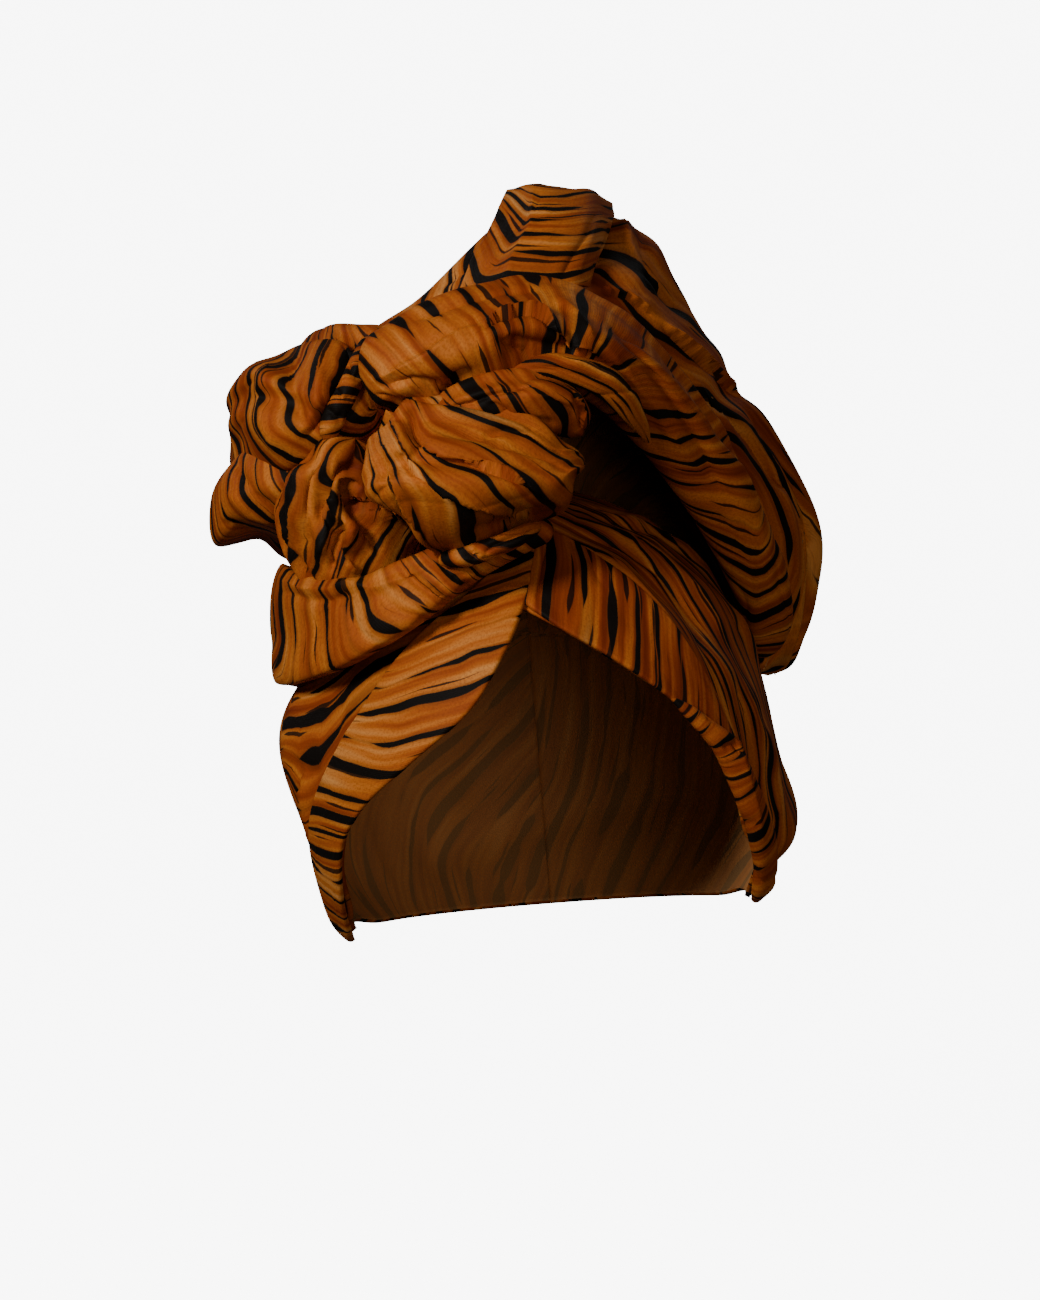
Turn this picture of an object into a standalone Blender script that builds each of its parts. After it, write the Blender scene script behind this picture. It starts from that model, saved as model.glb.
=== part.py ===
"""A turban headwrap. A close cap leaves the face open, two bands cross it at the brow, a sash runs
round the side of the head, and soft rolls, loops and drapes of cloth are built up over the crown.

Metres, +Z up, the face looks along -Y. The origin is the middle of the head on its girth line."""

import math
from collections import namedtuple

import bmesh
import bpy
from mathutils import Vector

# The head that the cap is made for
HEAD_WIDTH = 0.156
HEAD_LENGTH = 0.196
CROWN_HEIGHT = 0.096
JAW_DROP = 0.078

# The cap and the bands that lie on it
CAP_WALL = 0.002
BAND_WALL = 0.002
SIDE_RISE = -35.0
NAPE_RISE = -43.0

# The rolls, loops and drapes, each at its widest and thickest
SASH_WIDTH = 0.044
SASH_THICKNESS = 0.009
KNOT_HEIGHT = 0.043
KNOT_THICKNESS = 0.046
TUCK_WIDTH = 0.038
TUCK_THICKNESS = 0.030
INNER_WIDTH = 0.017
INNER_THICKNESS = 0.020
ARCH_WIDTH = 0.032
ARCH_THICKNESS = 0.024
LIP_WIDTH = 0.011
LIP_THICKNESS = 0.012
LOOP_WIDTH = 0.054
LOOP_THICKNESS = 0.040
LOW_LOOP_WIDTH = 0.040
LOW_LOOP_THICKNESS = 0.030
TOP_FOLD_WIDTH = 0.029
TOP_FOLD_THICKNESS = 0.009
TEMPLE_WIDTH = 0.009
TEMPLE_THICKNESS = 0.008
DRAPE_WALL = 0.0025

# How square the section of a roll is, 1 for an ellipse and less for a squarer one
SQUARENESS = 0.84

# Pieces that touch keep this gap, and a piece that rests on another is first sunk into it
GAP = 0.0003
SINK = 0.0012

# Colour and finish of the printed cloth
CLOTH_ORANGE = (0.52, 0.235, 0.055)
CLOTH_ROUGHNESS = 0.62

HALF_WIDTH = HEAD_WIDTH / 2
HALF_LENGTH = HEAD_LENGTH / 2
HUB = Vector((0.0, 0.0, 0.45 * CROWN_HEIGHT))

# A place on the head: degrees round from the brow towards +X, and degrees above the girth line
Place = namedtuple("Place", "turn rise")

# The edge of the face opening, from the lower left tip over the brow to the lower right tip
FACE_EDGE = (
    Place(-81, -40),
    Place(-72, -31),
    Place(-61, -18),
    Place(-54, -6),
    Place(-46, 2),
    Place(-33, 10),
    Place(-17, 20),
    Place(-8, 29),
    Place(-2, 39),
    Place(8, 34),
    Place(20, 27),
    Place(34, 18),
    Place(44, 9),
    Place(50, -2),
    Place(57, -14),
    Place(67, -26),
    Place(82, -40),
)
# The rest of the ring of the cutter that opens the face, below the chin
UNDER_CHIN = (Place(70, -62), Place(25, -72), Place(-25, -72), Place(-70, -62))

# Soft folds and swells of the cap: a ridge from one place to another, as lengths on the head
Pleat = namedtuple("Pleat", "from_turn from_rise to_turn to_rise high wide")
CAP_PLEATS = (
    Pleat(12, 60, 62, 14, 0.0026, 5.0),
    Pleat(16, 66, 84, 26, 0.0030, 6.0),
    Pleat(24, 74, 104, 38, 0.0026, 7.0),
    Pleat(74, -13, 100, -10, 0.0085, 9.0),
    Pleat(-78, 13, -104, 12, 0.0082, 13.0),
    Pleat(-80, -28, -110, -26, 0.0020, 8.0),
    Pleat(150, 8, 196, -8, 0.0026, 9.0),
    Pleat(140, -14, 214, -26, 0.0022, 7.0),
)

# The two bands: each row gives the places of its face edge and of its other edge
BandRow = namedtuple("BandRow", "face_turn face_rise seam_turn seam_rise")
LEFT_BAND = (
    BandRow(6, 54, 4, 62),
    BandRow(-1, 41, -8, 52),
    BandRow(-7, 31, -20, 43),
    BandRow(-16, 20, -33, 34),
    BandRow(-32, 10, -45, 22),
    BandRow(-45, 2, -56, 10),
    BandRow(-53, -6, -65, 0),
    BandRow(-60, -18, -72, -10),
    BandRow(-71, -31, -79, -24),
    BandRow(-79, -36, -83, -34),
)
RIGHT_BAND = (
    BandRow(-1, 41, 7, 60),
    BandRow(8, 35, 18, 54),
    BandRow(20, 28, 29, 46),
    BandRow(33, 19, 38, 35),
    BandRow(42, 11, 45, 22),
    BandRow(48, 2, 51, 8),
)

# Rolls of cloth. Places are shares of half the head's width, half its length and its crown height,
# wide and thick are shares of the roll's own sizes, and lean turns the section about the roll.
Section = namedtuple("Section", "across depth height wide thick lean")
# Folds along a roll: degrees round it, degrees wide, share of its thickness deep, where it starts
# and ends along the roll, and how many degrees it wanders on the way.
Fold = namedtuple("Fold", "angle wide deep start end drift")

SASH = (
    Section(0.12, -0.72, 0.92, 0.18, 0.60, 0),
    Section(-0.09, -0.78, 0.88, 0.28, 0.90, 0),
    Section(-0.30, -0.82, 0.82, 0.40, 1.00, 0),
    Section(-0.55, -0.77, 0.73, 0.58, 1.00, 0),
    Section(-0.78, -0.62, 0.67, 0.76, 1.00, -2),
    Section(-0.97, -0.36, 0.64, 0.90, 1.00, -4),
    Section(-1.05, -0.04, 0.63, 0.98, 1.00, -4),
    Section(-1.00, 0.34, 0.58, 0.98, 1.00, 0),
    Section(-0.82, 0.68, 0.52, 0.94, 1.00, 6),
    Section(-0.45, 0.92, 0.45, 0.90, 1.00, 12),
    Section(0.02, 1.00, 0.40, 0.86, 1.00, 14),
    Section(0.48, 0.89, 0.38, 0.80, 1.00, 14),
    Section(0.82, 0.64, 0.38, 0.70, 1.00, 12),
    Section(0.97, 0.40, 0.36, 0.50, 0.90, 8),
)
SASH_FOLDS = (
    Fold(70, 26, 0.34, 0.02, 0.45, 30),
    Fold(118, 22, 0.28, 0.25, 0.95, -16),
)

KNOT = (
    Section(-0.51, -0.80, 1.08, 0.60, 0.60, -8),
    Section(-0.42, -0.86, 1.12, 0.92, 0.92, -8),
    Section(-0.26, -0.89, 1.12, 1.00, 1.00, -6),
    Section(-0.07, -0.89, 1.10, 0.92, 0.98, 0),
    Section(0.10, -0.87, 1.09, 0.68, 0.80, 6),
    Section(0.26, -0.81, 1.10, 0.34, 0.44, 10),
)
KNOT_FOLDS = (
    Fold(58, 13, 0.20, 0.05, 0.98, 20),
    Fold(98, 11, 0.16, 0.10, 0.98, -6),
    Fold(136, 13, 0.20, 0.00, 0.95, -24),
)

TUCK = (
    Section(-0.58, -0.44, 0.70, 0.86, 0.84, 0),
    Section(-0.68, -0.49, 0.84, 1.00, 1.00, 0),
    Section(-0.75, -0.53, 0.99, 1.04, 1.04, 0),
    Section(-0.74, -0.57, 1.13, 0.88, 0.92, 0),
    Section(-0.64, -0.62, 1.25, 0.60, 0.70, 0),
)
TUCK_FOLDS = (
    Fold(60, 18, 0.26, 0.00, 0.90, -20),
    Fold(105, 16, 0.22, 0.00, 1.00, 26),
)

INNER = (
    Section(-0.32, -0.84, 1.29, 0.60, 0.70, 0),
    Section(-0.13, -0.88, 1.33, 0.90, 0.95, 0),
    Section(0.07, -0.88, 1.34, 1.00, 1.00, 0),
    Section(0.25, -0.82, 1.29, 1.00, 0.95, 0),
    Section(0.34, -0.72, 1.18, 0.70, 0.70, 0),
)
INNER_FOLDS = (Fold(90, 22, 0.24, 0.05, 0.95, 24),)

ARCH = (
    Section(-0.55, -0.76, 1.38, 0.62, 0.74, 10),
    Section(-0.40, -0.78, 1.47, 0.92, 1.00, 8),
    Section(-0.16, -0.78, 1.54, 1.00, 1.06, 4),
    Section(0.12, -0.74, 1.57, 1.00, 1.06, 0),
    Section(0.38, -0.65, 1.48, 0.94, 1.00, 0),
    Section(0.60, -0.50, 1.30, 0.84, 0.92, 0),
    Section(0.77, -0.34, 1.09, 0.76, 0.86, 0),
    Section(0.91, -0.16, 0.87, 0.70, 0.80, 0),
    Section(1.00, 0.00, 0.68, 0.64, 0.74, 0),
    Section(1.04, 0.14, 0.50, 0.56, 0.64, 0),
    Section(0.99, 0.26, 0.36, 0.42, 0.50, 0),
)
ARCH_FOLDS = (
    Fold(62, 20, 0.22, 0.06, 0.62, 28),
    Fold(118, 18, 0.20, 0.22, 0.98, -30),
)

LIP = (
    Section(-0.18, -0.88, 1.39, 0.60, 0.70, 0),
    Section(0.02, -0.91, 1.42, 0.90, 0.95, 0),
    Section(0.20, -0.89, 1.43, 1.00, 1.00, 0),
    Section(0.35, -0.82, 1.38, 1.00, 1.00, 0),
    Section(0.46, -0.72, 1.29, 0.90, 0.95, 0),
    Section(0.55, -0.62, 1.19, 0.66, 0.80, 0),
)

LOOP = (
    Section(-0.54, -0.62, 1.34, 0.62, 0.60, 0),
    Section(-0.72, -0.46, 1.39, 0.88, 0.86, 0),
    Section(-0.86, -0.22, 1.37, 0.98, 1.00, 0),
    Section(-0.92, 0.06, 1.30, 1.00, 1.00, 0),
    Section(-0.85, 0.34, 1.20, 0.90, 0.90, 0),
    Section(-0.68, 0.58, 1.06, 0.64, 0.66, 0),
)
LOOP_FOLDS = (
    Fold(48, 18, 0.24, 0.00, 0.70, 26),
    Fold(96, 16, 0.16, 0.10, 0.95, -10),
    Fold(140, 17, 0.20, 0.00, 0.80, -24),
)

LOW_LOOP = (
    Section(-0.78, -0.46, 1.17, 0.66, 0.66, 0),
    Section(-0.96, -0.28, 1.16, 0.94, 0.96, 0),
    Section(-1.06, -0.02, 1.11, 1.00, 1.00, 0),
    Section(-1.02, 0.26, 1.02, 0.94, 0.94, 0),
    Section(-0.90, 0.50, 0.92, 0.64, 0.68, 0),
)
LOW_LOOP_FOLDS = (Fold(80, 18, 0.20, 0.05, 0.95, 20),)

TOP_FOLD = (
    Section(0.07, -0.68, 1.66, 0.60, 0.70, 0),
    Section(0.13, -0.60, 1.78, 0.80, 1.00, 0),
    Section(0.21, -0.44, 1.92, 1.00, 1.10, 0),
    Section(0.27, -0.18, 1.98, 1.00, 1.00, 0),
    Section(0.27, 0.12, 1.94, 0.90, 0.90, 0),
    Section(0.22, 0.38, 1.80, 0.60, 0.70, 0),
)

TEMPLE = (
    Place(40, 16),
    Place(47, 9),
    Place(53, -2),
    Place(60, -13),
    Place(67, -23),
    Place(74, -30),
)

# The ribs of the drape over the crown, from the left side over the top to the right side. Each
# runs from its lip behind the arch over a brow, a crest and the back to its seat on the cap.
Rib = namedtuple(
    "Rib",
    "lip_across lip_depth lip_height brow_across brow_depth brow_height"
    " crest_across crest_depth crest_height back_across back_depth back_height"
    " seat_turn seat_rise",
)
DRAPE_RIBS = (
    Rib(-0.60, -0.52, 0.70, -0.82, -0.26, 0.70, -0.96, 0.12, 0.70, -0.90, 0.44, 0.62, -112, 36),
    Rib(-0.50, -0.66, 1.02, -0.78, -0.38, 1.12, -0.94, 0.08, 1.16, -0.92, 0.56, 0.98, -127, 34),
    Rib(-0.42, -0.70, 1.30, -0.58, -0.44, 1.45, -0.68, 0.06, 1.54, -0.72, 0.80, 1.18, -144, 31),
    Rib(-0.30, -0.66, 1.50, -0.32, -0.47, 1.62, -0.33, 0.02, 1.70, -0.40, 0.98, 1.24, -162, 28),
    Rib(0.06, -0.64, 1.64, 0.06, -0.50, 1.84, 0.10, 0.06, 1.94, 0.00, 1.06, 1.26, -180, 25),
    Rib(0.44, -0.55, 1.52, 0.48, -0.42, 1.74, 0.55, 0.10, 1.88, 0.42, 1.02, 1.24, -197, 24),
    Rib(0.70, -0.38, 1.22, 0.82, -0.22, 1.40, 0.88, 0.22, 1.48, 0.76, 0.86, 1.08, -214, 23),
    Rib(0.90, -0.14, 0.90, 1.08, 0.00, 1.06, 1.19, 0.28, 1.06, 1.04, 0.68, 0.84, -230, 20),
    Rib(1.01, 0.06, 0.62, 1.22, 0.18, 0.68, 1.33, 0.34, 0.66, 1.16, 0.58, 0.57, -243, 17),
    Rib(1.00, 0.20, 0.36, 1.12, 0.28, 0.33, 1.18, 0.38, 0.33, 1.10, 0.50, 0.34, -250, 15),
)
# Folds of the drape: share of the way from lip to seat, wide and deep as lengths, where the fold
# starts and ends from left to right, and how far it wanders on the way.
DrapeFold = namedtuple("DrapeFold", "place wide deep start end drift")
DRAPE_FOLDS = (
    DrapeFold(0.16, 0.055, 0.0050, 0.40, 1.00, -0.03),
    DrapeFold(0.30, 0.050, 0.0042, 0.34, 0.96, 0.10),
    DrapeFold(0.48, 0.060, 0.0050, 0.20, 0.92, 0.12),
    DrapeFold(0.66, 0.060, 0.0046, 0.10, 0.88, 0.10),
    DrapeFold(0.22, 0.050, 0.0040, 0.00, 0.42, 0.12),
)


def between(rows, share):
    """The row at a share of the way through a table, on a smooth curve through its rows."""
    place = min(max(share, 0.0), 1.0) * (len(rows) - 1)
    first = min(int(place), len(rows) - 2)
    step = place - first
    before = rows[max(first - 1, 0)]
    after = rows[min(first + 2, len(rows) - 1)]
    values = []
    for a, b, c, d in zip(before, rows[first], rows[first + 1], after):
        rise = 2 * b + (c - a) * step
        bend = (2 * a - 5 * b + 4 * c - d) * step**2
        twist = (3 * b - a - 3 * c + d) * step**3
        values.append((rise + bend + twist) / 2)
    return type(rows[0])(*values)


def bump(distance, width):
    """A soft hill, 1 at its middle and nearly 0 at twice its width."""
    return math.exp(-((distance / width) ** 2))


def fade(share, start, end):
    """0 outside a stretch, 1 in its middle, with soft ends."""
    if not start < share < end:
        return 0.0
    return math.sqrt(math.sin(math.pi * (share - start) / (end - start)))


def head_point(turn, rise, lift):
    """The point at a place on the head, lifted off it."""
    around = math.radians(turn)
    up = math.radians(rise)
    level = (CROWN_HEIGHT if rise >= 0 else JAW_DROP) + lift
    return Vector((
        (HALF_WIDTH + lift) * math.cos(up) * math.sin(around),
        -(HALF_LENGTH + lift) * math.cos(up) * math.cos(around),
        level * math.sin(up),
    ))


def in_head_shares(across, depth, height):
    """The point at shares of half the head's width, half its length and its crown height."""
    return Vector((across * HALF_WIDTH, depth * HALF_LENGTH, height * CROWN_HEIGHT))


def pleat_lift(turn, rise):
    """How far the cap's folds and swells stand off the head at a place."""
    lift = 0.0
    for pleat in CAP_PLEATS:
        along_turn = pleat.to_turn - pleat.from_turn
        along_rise = pleat.to_rise - pleat.from_rise
        for whole_turn in (-360, 0, 360):
            off_turn = turn + whole_turn - pleat.from_turn
            off_rise = rise - pleat.from_rise
            along = off_turn * along_turn + off_rise * along_rise
            share = min(max(along / (along_turn**2 + along_rise**2), 0.0), 1.0)
            distance = math.hypot(off_turn - share * along_turn, off_rise - share * along_rise)
            if distance < 3 * pleat.wide:
                lift += pleat.high * bump(distance, pleat.wide)
    return lift


def cloth_material(name):
    """The printed cloth of one piece."""
    material = bpy.data.materials.new(name + "_cloth")
    material.use_nodes = True
    shader = material.node_tree.nodes["Principled BSDF"]
    shader.inputs["Base Color"].default_value = (*CLOTH_ORANGE, 1.0)
    shader.inputs["Roughness"].default_value = CLOTH_ROUGHNESS
    shader.inputs["Metallic"].default_value = 0.0
    material.diffuse_color = (*CLOTH_ORANGE, 1.0)
    return material


def new_piece(name, points, faces):
    """An object from points and faces, in triangles and with its faces pointing out."""
    mesh = bpy.data.meshes.new(name)
    mesh.from_pydata([tuple(point) for point in points], [], faces)
    tidy = bmesh.new()
    tidy.from_mesh(mesh)
    bmesh.ops.recalc_face_normals(tidy, faces=tidy.faces)
    bmesh.ops.triangulate(tidy, faces=tidy.faces)
    tidy.to_mesh(mesh)
    tidy.free()
    mesh.shade_smooth()
    mesh.materials.append(cloth_material(name))
    piece = bpy.data.objects.new(name, mesh)
    bpy.context.scene.collection.objects.link(piece)
    return piece


def sheet_solid(name, outer, inner):
    """A wall of cloth between two grids of points, closed along its four edges."""
    rows = len(outer)
    columns = len(outer[0])
    points = [point for row in outer for point in row] + [point for row in inner for point in row]
    under = rows * columns
    faces = []
    for row in range(rows - 1):
        for column in range(columns - 1):
            a = row * columns + column
            b, c, d = a + 1, a + columns + 1, a + columns
            faces.append((a, b, c, d))
            faces.append((under + d, under + c, under + b, under + a))
    rim = [column for column in range(columns)]
    rim += [row * columns + columns - 1 for row in range(1, rows)]
    rim += [(rows - 1) * columns + column for column in range(columns - 2, -1, -1)]
    rim += [row * columns for row in range(rows - 2, 0, -1)]
    for one, two in zip(rim, rim[1:] + rim[:1]):
        faces.append((two, one, under + one, under + two))
    return new_piece(name, points, faces)


def squared(value):
    """A sine or cosine made fuller, so that a section comes out squarer than an ellipse."""
    return math.copysign(abs(value) ** SQUARENESS, value)


def section_ring(sections, folds, width, thickness, root, share, size, sides):
    """One ring of points round a roll, at a share of its length."""
    here = between(sections, share)
    middle = in_head_shares(here.across, here.depth, here.height)
    step = 0.01
    ahead = between(sections, share + step)
    behind = between(sections, share - step)
    along = in_head_shares(ahead.across, ahead.depth, ahead.height)
    along -= in_head_shares(behind.across, behind.depth, behind.height)
    along.normalize()
    outward = middle - HUB
    outward -= outward.dot(along) * along
    outward.normalize()
    sideways = along.cross(outward)
    lean = math.radians(here.lean)
    thick_way = outward * math.cos(lean) + sideways * math.sin(lean)
    wide_way = sideways * math.cos(lean) - outward * math.sin(lean)
    ring = []
    for side in range(sides):
        angle = 360.0 * side / sides
        reach = size
        for fold in folds:
            run = (share - fold.start) / (fold.end - fold.start)
            off = (angle - fold.angle - fold.drift * run + 180) % 360 - 180
            reach -= size * fold.deep * fade(share, fold.start, fold.end) * bump(off, fold.wide)
        wide = here.wide * width / 2 * reach * squared(math.cos(math.radians(angle)))
        thick = here.thick * thickness / 2 * reach * squared(math.sin(math.radians(angle)))
        thick *= root if angle > 180 else 1.0
        ring.append(middle + wide_way * wide + thick_way * thick)
    return middle, ring


def roll(name, sections, width, thickness, folds, root, stations, sides, blunt):
    """A roll of cloth along a smooth line, with folds along it and rounded ends.

    root is how many times thicker it is towards the head than away from it, and blunt is the
    share of its length in which an end rounds off."""
    points = []
    for station in range(stations + 1):
        even = station / stations
        eased = (1 - math.cos(math.pi * even)) / 2
        share = (even + eased) / 2
        end = min(share, 1 - share)
        size = math.sqrt(1 - (1 - end / blunt) ** 2) if end < blunt else 1.0
        middle, ring = section_ring(sections, folds, width, thickness, root, share, size, sides)
        points += [middle] if station in (0, stations) else ring
    faces = []
    for side in range(sides):
        beside = (side + 1) % sides
        faces.append((0, 1 + beside, 1 + side))
        last = len(points) - 1
        faces.append((last, last - sides + side, last - sides + beside))
        for station in range(stations - 2):
            first = 1 + station * sides
            second = first + sides
            faces.append((first + side, first + beside, second + beside, second + side))
    return new_piece(name, points, faces)


def grown(piece, by):
    """The mesh of a piece, grown outwards by a distance, as a hidden cutter."""
    mesh = piece.data.copy()
    swell = bmesh.new()
    swell.from_mesh(mesh)
    swell.normal_update()
    moves = [vertex.normal * by for vertex in swell.verts]
    for vertex, move in zip(swell.verts, moves):
        vertex.co += move
    swell.to_mesh(mesh)
    swell.free()
    cutter = bpy.data.objects.new(piece.name + "_cutter", mesh)
    cutter.hide_render = True
    cutter.display_type = "WIRE"
    bpy.context.scene.collection.objects.link(cutter)
    return cutter


def keep_main_body(mesh):
    """Drops the flat flaps and the offcuts that a cut leaves beside the main body of a piece."""
    whole = bmesh.new()
    whole.from_mesh(mesh)
    bmesh.ops.triangulate(whole, faces=whole.faces)
    same = {}
    for face in whole.faces:
        same.setdefault(frozenset(face.verts), []).append(face)
    flaps = [face for faces in same.values() if len(faces) > 1 for face in faces]
    bmesh.ops.delete(whole, geom=flaps, context="FACES")
    left = set(whole.faces)
    bodies = []
    while left:
        body = {left.pop()}
        front = list(body)
        while front:
            lines = {line for face in front for line in face.edges if len(line.link_faces) == 2}
            front = list({face for line in lines for face in line.link_faces} - body)
            body |= set(front)
        left -= body
        bodies.append((sum(face.calc_area() for face in body), len(bodies), body))
    bodies.sort()
    offcuts = [face for area, order, body in bodies[:-1] for face in body]
    bmesh.ops.delete(whole, geom=offcuts, context="FACES")
    whole.to_mesh(mesh)
    whole.free()


def cut(piece, cutter):
    """Cuts a hidden cutter out of a piece."""
    trim = piece.modifiers.new("trim", "BOOLEAN")
    trim.operation = "DIFFERENCE"
    trim.solver = "EXACT"
    trim.use_self = True
    trim.object = cutter
    bpy.context.view_layer.update()
    graph = bpy.context.evaluated_depsgraph_get()
    mesh = bpy.data.meshes.new_from_object(piece.evaluated_get(graph))
    piece.modifiers.remove(trim)
    keep_main_body(mesh)
    piece.data = mesh


def carve(piece, *neighbours):
    """Keeps a cutter of the whole piece, then cuts it back a small gap off its neighbours."""
    grown(piece, GAP)
    for neighbour in neighbours:
        cut(piece, bpy.data.objects[neighbour.name + "_cutter"])
    return piece


def face_cutter():
    """A wedge from inside the head out through the face, which opens the cap."""
    ring = FACE_EDGE + UNDER_CHIN
    near, far = 0.55, 1.7
    points = [head_point(place.turn, place.rise, 0.0) * near for place in ring]
    points += [head_point(place.turn, place.rise, 0.0) * far for place in ring]
    points.append(Vector((0.0, 0.0, -0.1 * JAW_DROP)))
    points.append(Vector((0.0, -6 * HALF_LENGTH, -0.5 * JAW_DROP)))
    count = len(ring)
    inner, outer = 2 * count, 2 * count + 1
    faces = []
    for corner in range(count):
        beside = (corner + 1) % count
        faces.append((corner, beside, count + beside, count + corner))
        faces.append((inner, beside, corner))
        faces.append((outer, count + corner, count + beside))
    cutter = new_piece("face_cutter", points, faces)
    cutter.hide_render = True
    cutter.display_type = "WIRE"
    return cutter


def make_cap(columns=40, rows=12):
    """The close cap, open below and over the face."""
    outer, inner = [], []
    for column in range(columns + 1):
        turn = -180 + 360 * column / columns
        lowest = SIDE_RISE + (NAPE_RISE - SIDE_RISE) * max(0.0, -math.cos(math.radians(turn)))
        top = 88.0
        outside, inside = [], []
        for row in range(rows + 1):
            rise = top + (lowest - top) * row / rows
            lift = pleat_lift(turn, rise)
            outside.append(head_point(turn, rise, CAP_WALL + lift))
            inside.append(head_point(turn, rise, lift))
        outer.append(outside)
        inner.append(inside)
    points, faces = [], []
    for grid in (outer, inner):
        base = len(points)
        points += [point for column in grid[:-1] for point in column]
        crown = sum((column[0] for column in grid[:-1]), Vector()) / columns
        points.append(crown)
        for column in range(columns):
            here = base + column * (rows + 1)
            beside = base + (column + 1) % columns * (rows + 1)
            faces.append((base + columns * (rows + 1), beside, here))
            for row in range(rows):
                faces.append((here + row, beside + row, beside + row + 1, here + row + 1))
    half = len(points) // 2
    for column in range(columns):
        here = column * (rows + 1) + rows
        beside = (column + 1) % columns * (rows + 1) + rows
        faces.append((here, beside, half + beside, half + here))
    cap = new_piece("cap", points, faces)
    cutter = face_cutter()
    cut(cap, cutter)
    bpy.data.objects.remove(cutter)
    return cap


def make_band(name, rows, stations=18, across=6):
    """A flat band that lies on the cap between two edges, sunk into it until it is carved."""
    outer, inner = [], []
    for station in range(stations + 1):
        here = between(rows, station / stations)
        outside, inside = [], []
        for column in range(across + 1):
            share = column / across
            turn = here.face_turn + (here.seam_turn - here.face_turn) * share
            rise = here.face_rise + (here.seam_rise - here.face_rise) * share
            base = pleat_lift(turn, rise) + CAP_WALL
            swell = 0.35 * BAND_WALL * math.sin(math.pi * share)
            outside.append(head_point(turn, rise, base + GAP + BAND_WALL + swell))
            inside.append(head_point(turn, rise, base - SINK))
        outer.append(outside)
        inner.append(inside)
    return sheet_solid(name, outer, inner)


def make_temple_roll():
    """The narrow rolled edge of the right band, from the temple down to the ear."""
    lift = CAP_WALL + 0.45 * TEMPLE_THICKNESS
    sections = []
    for place in TEMPLE:
        point = head_point(place.turn, place.rise, lift)
        shares = (point.x / HALF_WIDTH, point.y / HALF_LENGTH, point.z / CROWN_HEIGHT)
        sections.append(Section(*shares, 1.0, 1.0, 0))
    return roll("temple_roll", sections, TEMPLE_WIDTH, TEMPLE_THICKNESS, (), 1.0, 14, 10, 0.10)


def drape_point(across, down):
    """A point on the outside of the drape: across from left to right, down from lip to seat."""
    rib = between(DRAPE_RIBS, across)
    Stop = namedtuple("Stop", "x y z")
    stops = (
        Stop(*in_head_shares(rib.lip_across, rib.lip_depth, rib.lip_height)),
        Stop(*in_head_shares(rib.brow_across, rib.brow_depth, rib.brow_height)),
        Stop(*in_head_shares(rib.crest_across, rib.crest_depth, rib.crest_height)),
        Stop(*in_head_shares(rib.back_across, rib.back_depth, rib.back_height)),
        Stop(*head_point(rib.seat_turn, rib.seat_rise, CAP_WALL - SINK)),
    )
    point = Vector(between(stops, down))
    depth = 0.0
    for fold in DRAPE_FOLDS:
        run = (across - fold.start) / (fold.end - fold.start)
        off = down - fold.place - fold.drift * run
        depth += fold.deep * fade(across, fold.start, fold.end) * bump(off, fold.wide)
    return point + (HUB - point).normalized() * depth


def make_drape(columns=27, rows=17):
    """The drape over the crown, a wall of cloth from its lip to its seat on the cap."""
    outer, inner = [], []
    for column in range(columns + 1):
        outside, inside = [], []
        for row in range(rows + 1):
            across, down = column / columns, row / rows
            point = drape_point(across, down)
            along = drape_point(min(across + 0.01, 1), down)
            along -= drape_point(max(across - 0.01, 0), down)
            below = drape_point(across, min(down + 0.01, 1))
            below -= drape_point(across, max(down - 0.01, 0))
            inward = below.cross(along).normalized()
            outside.append(point)
            inside.append(point + inward * DRAPE_WALL)
        outer.append(outside)
        inner.append(inside)
    return sheet_solid("crown_drape", outer, inner)


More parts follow.
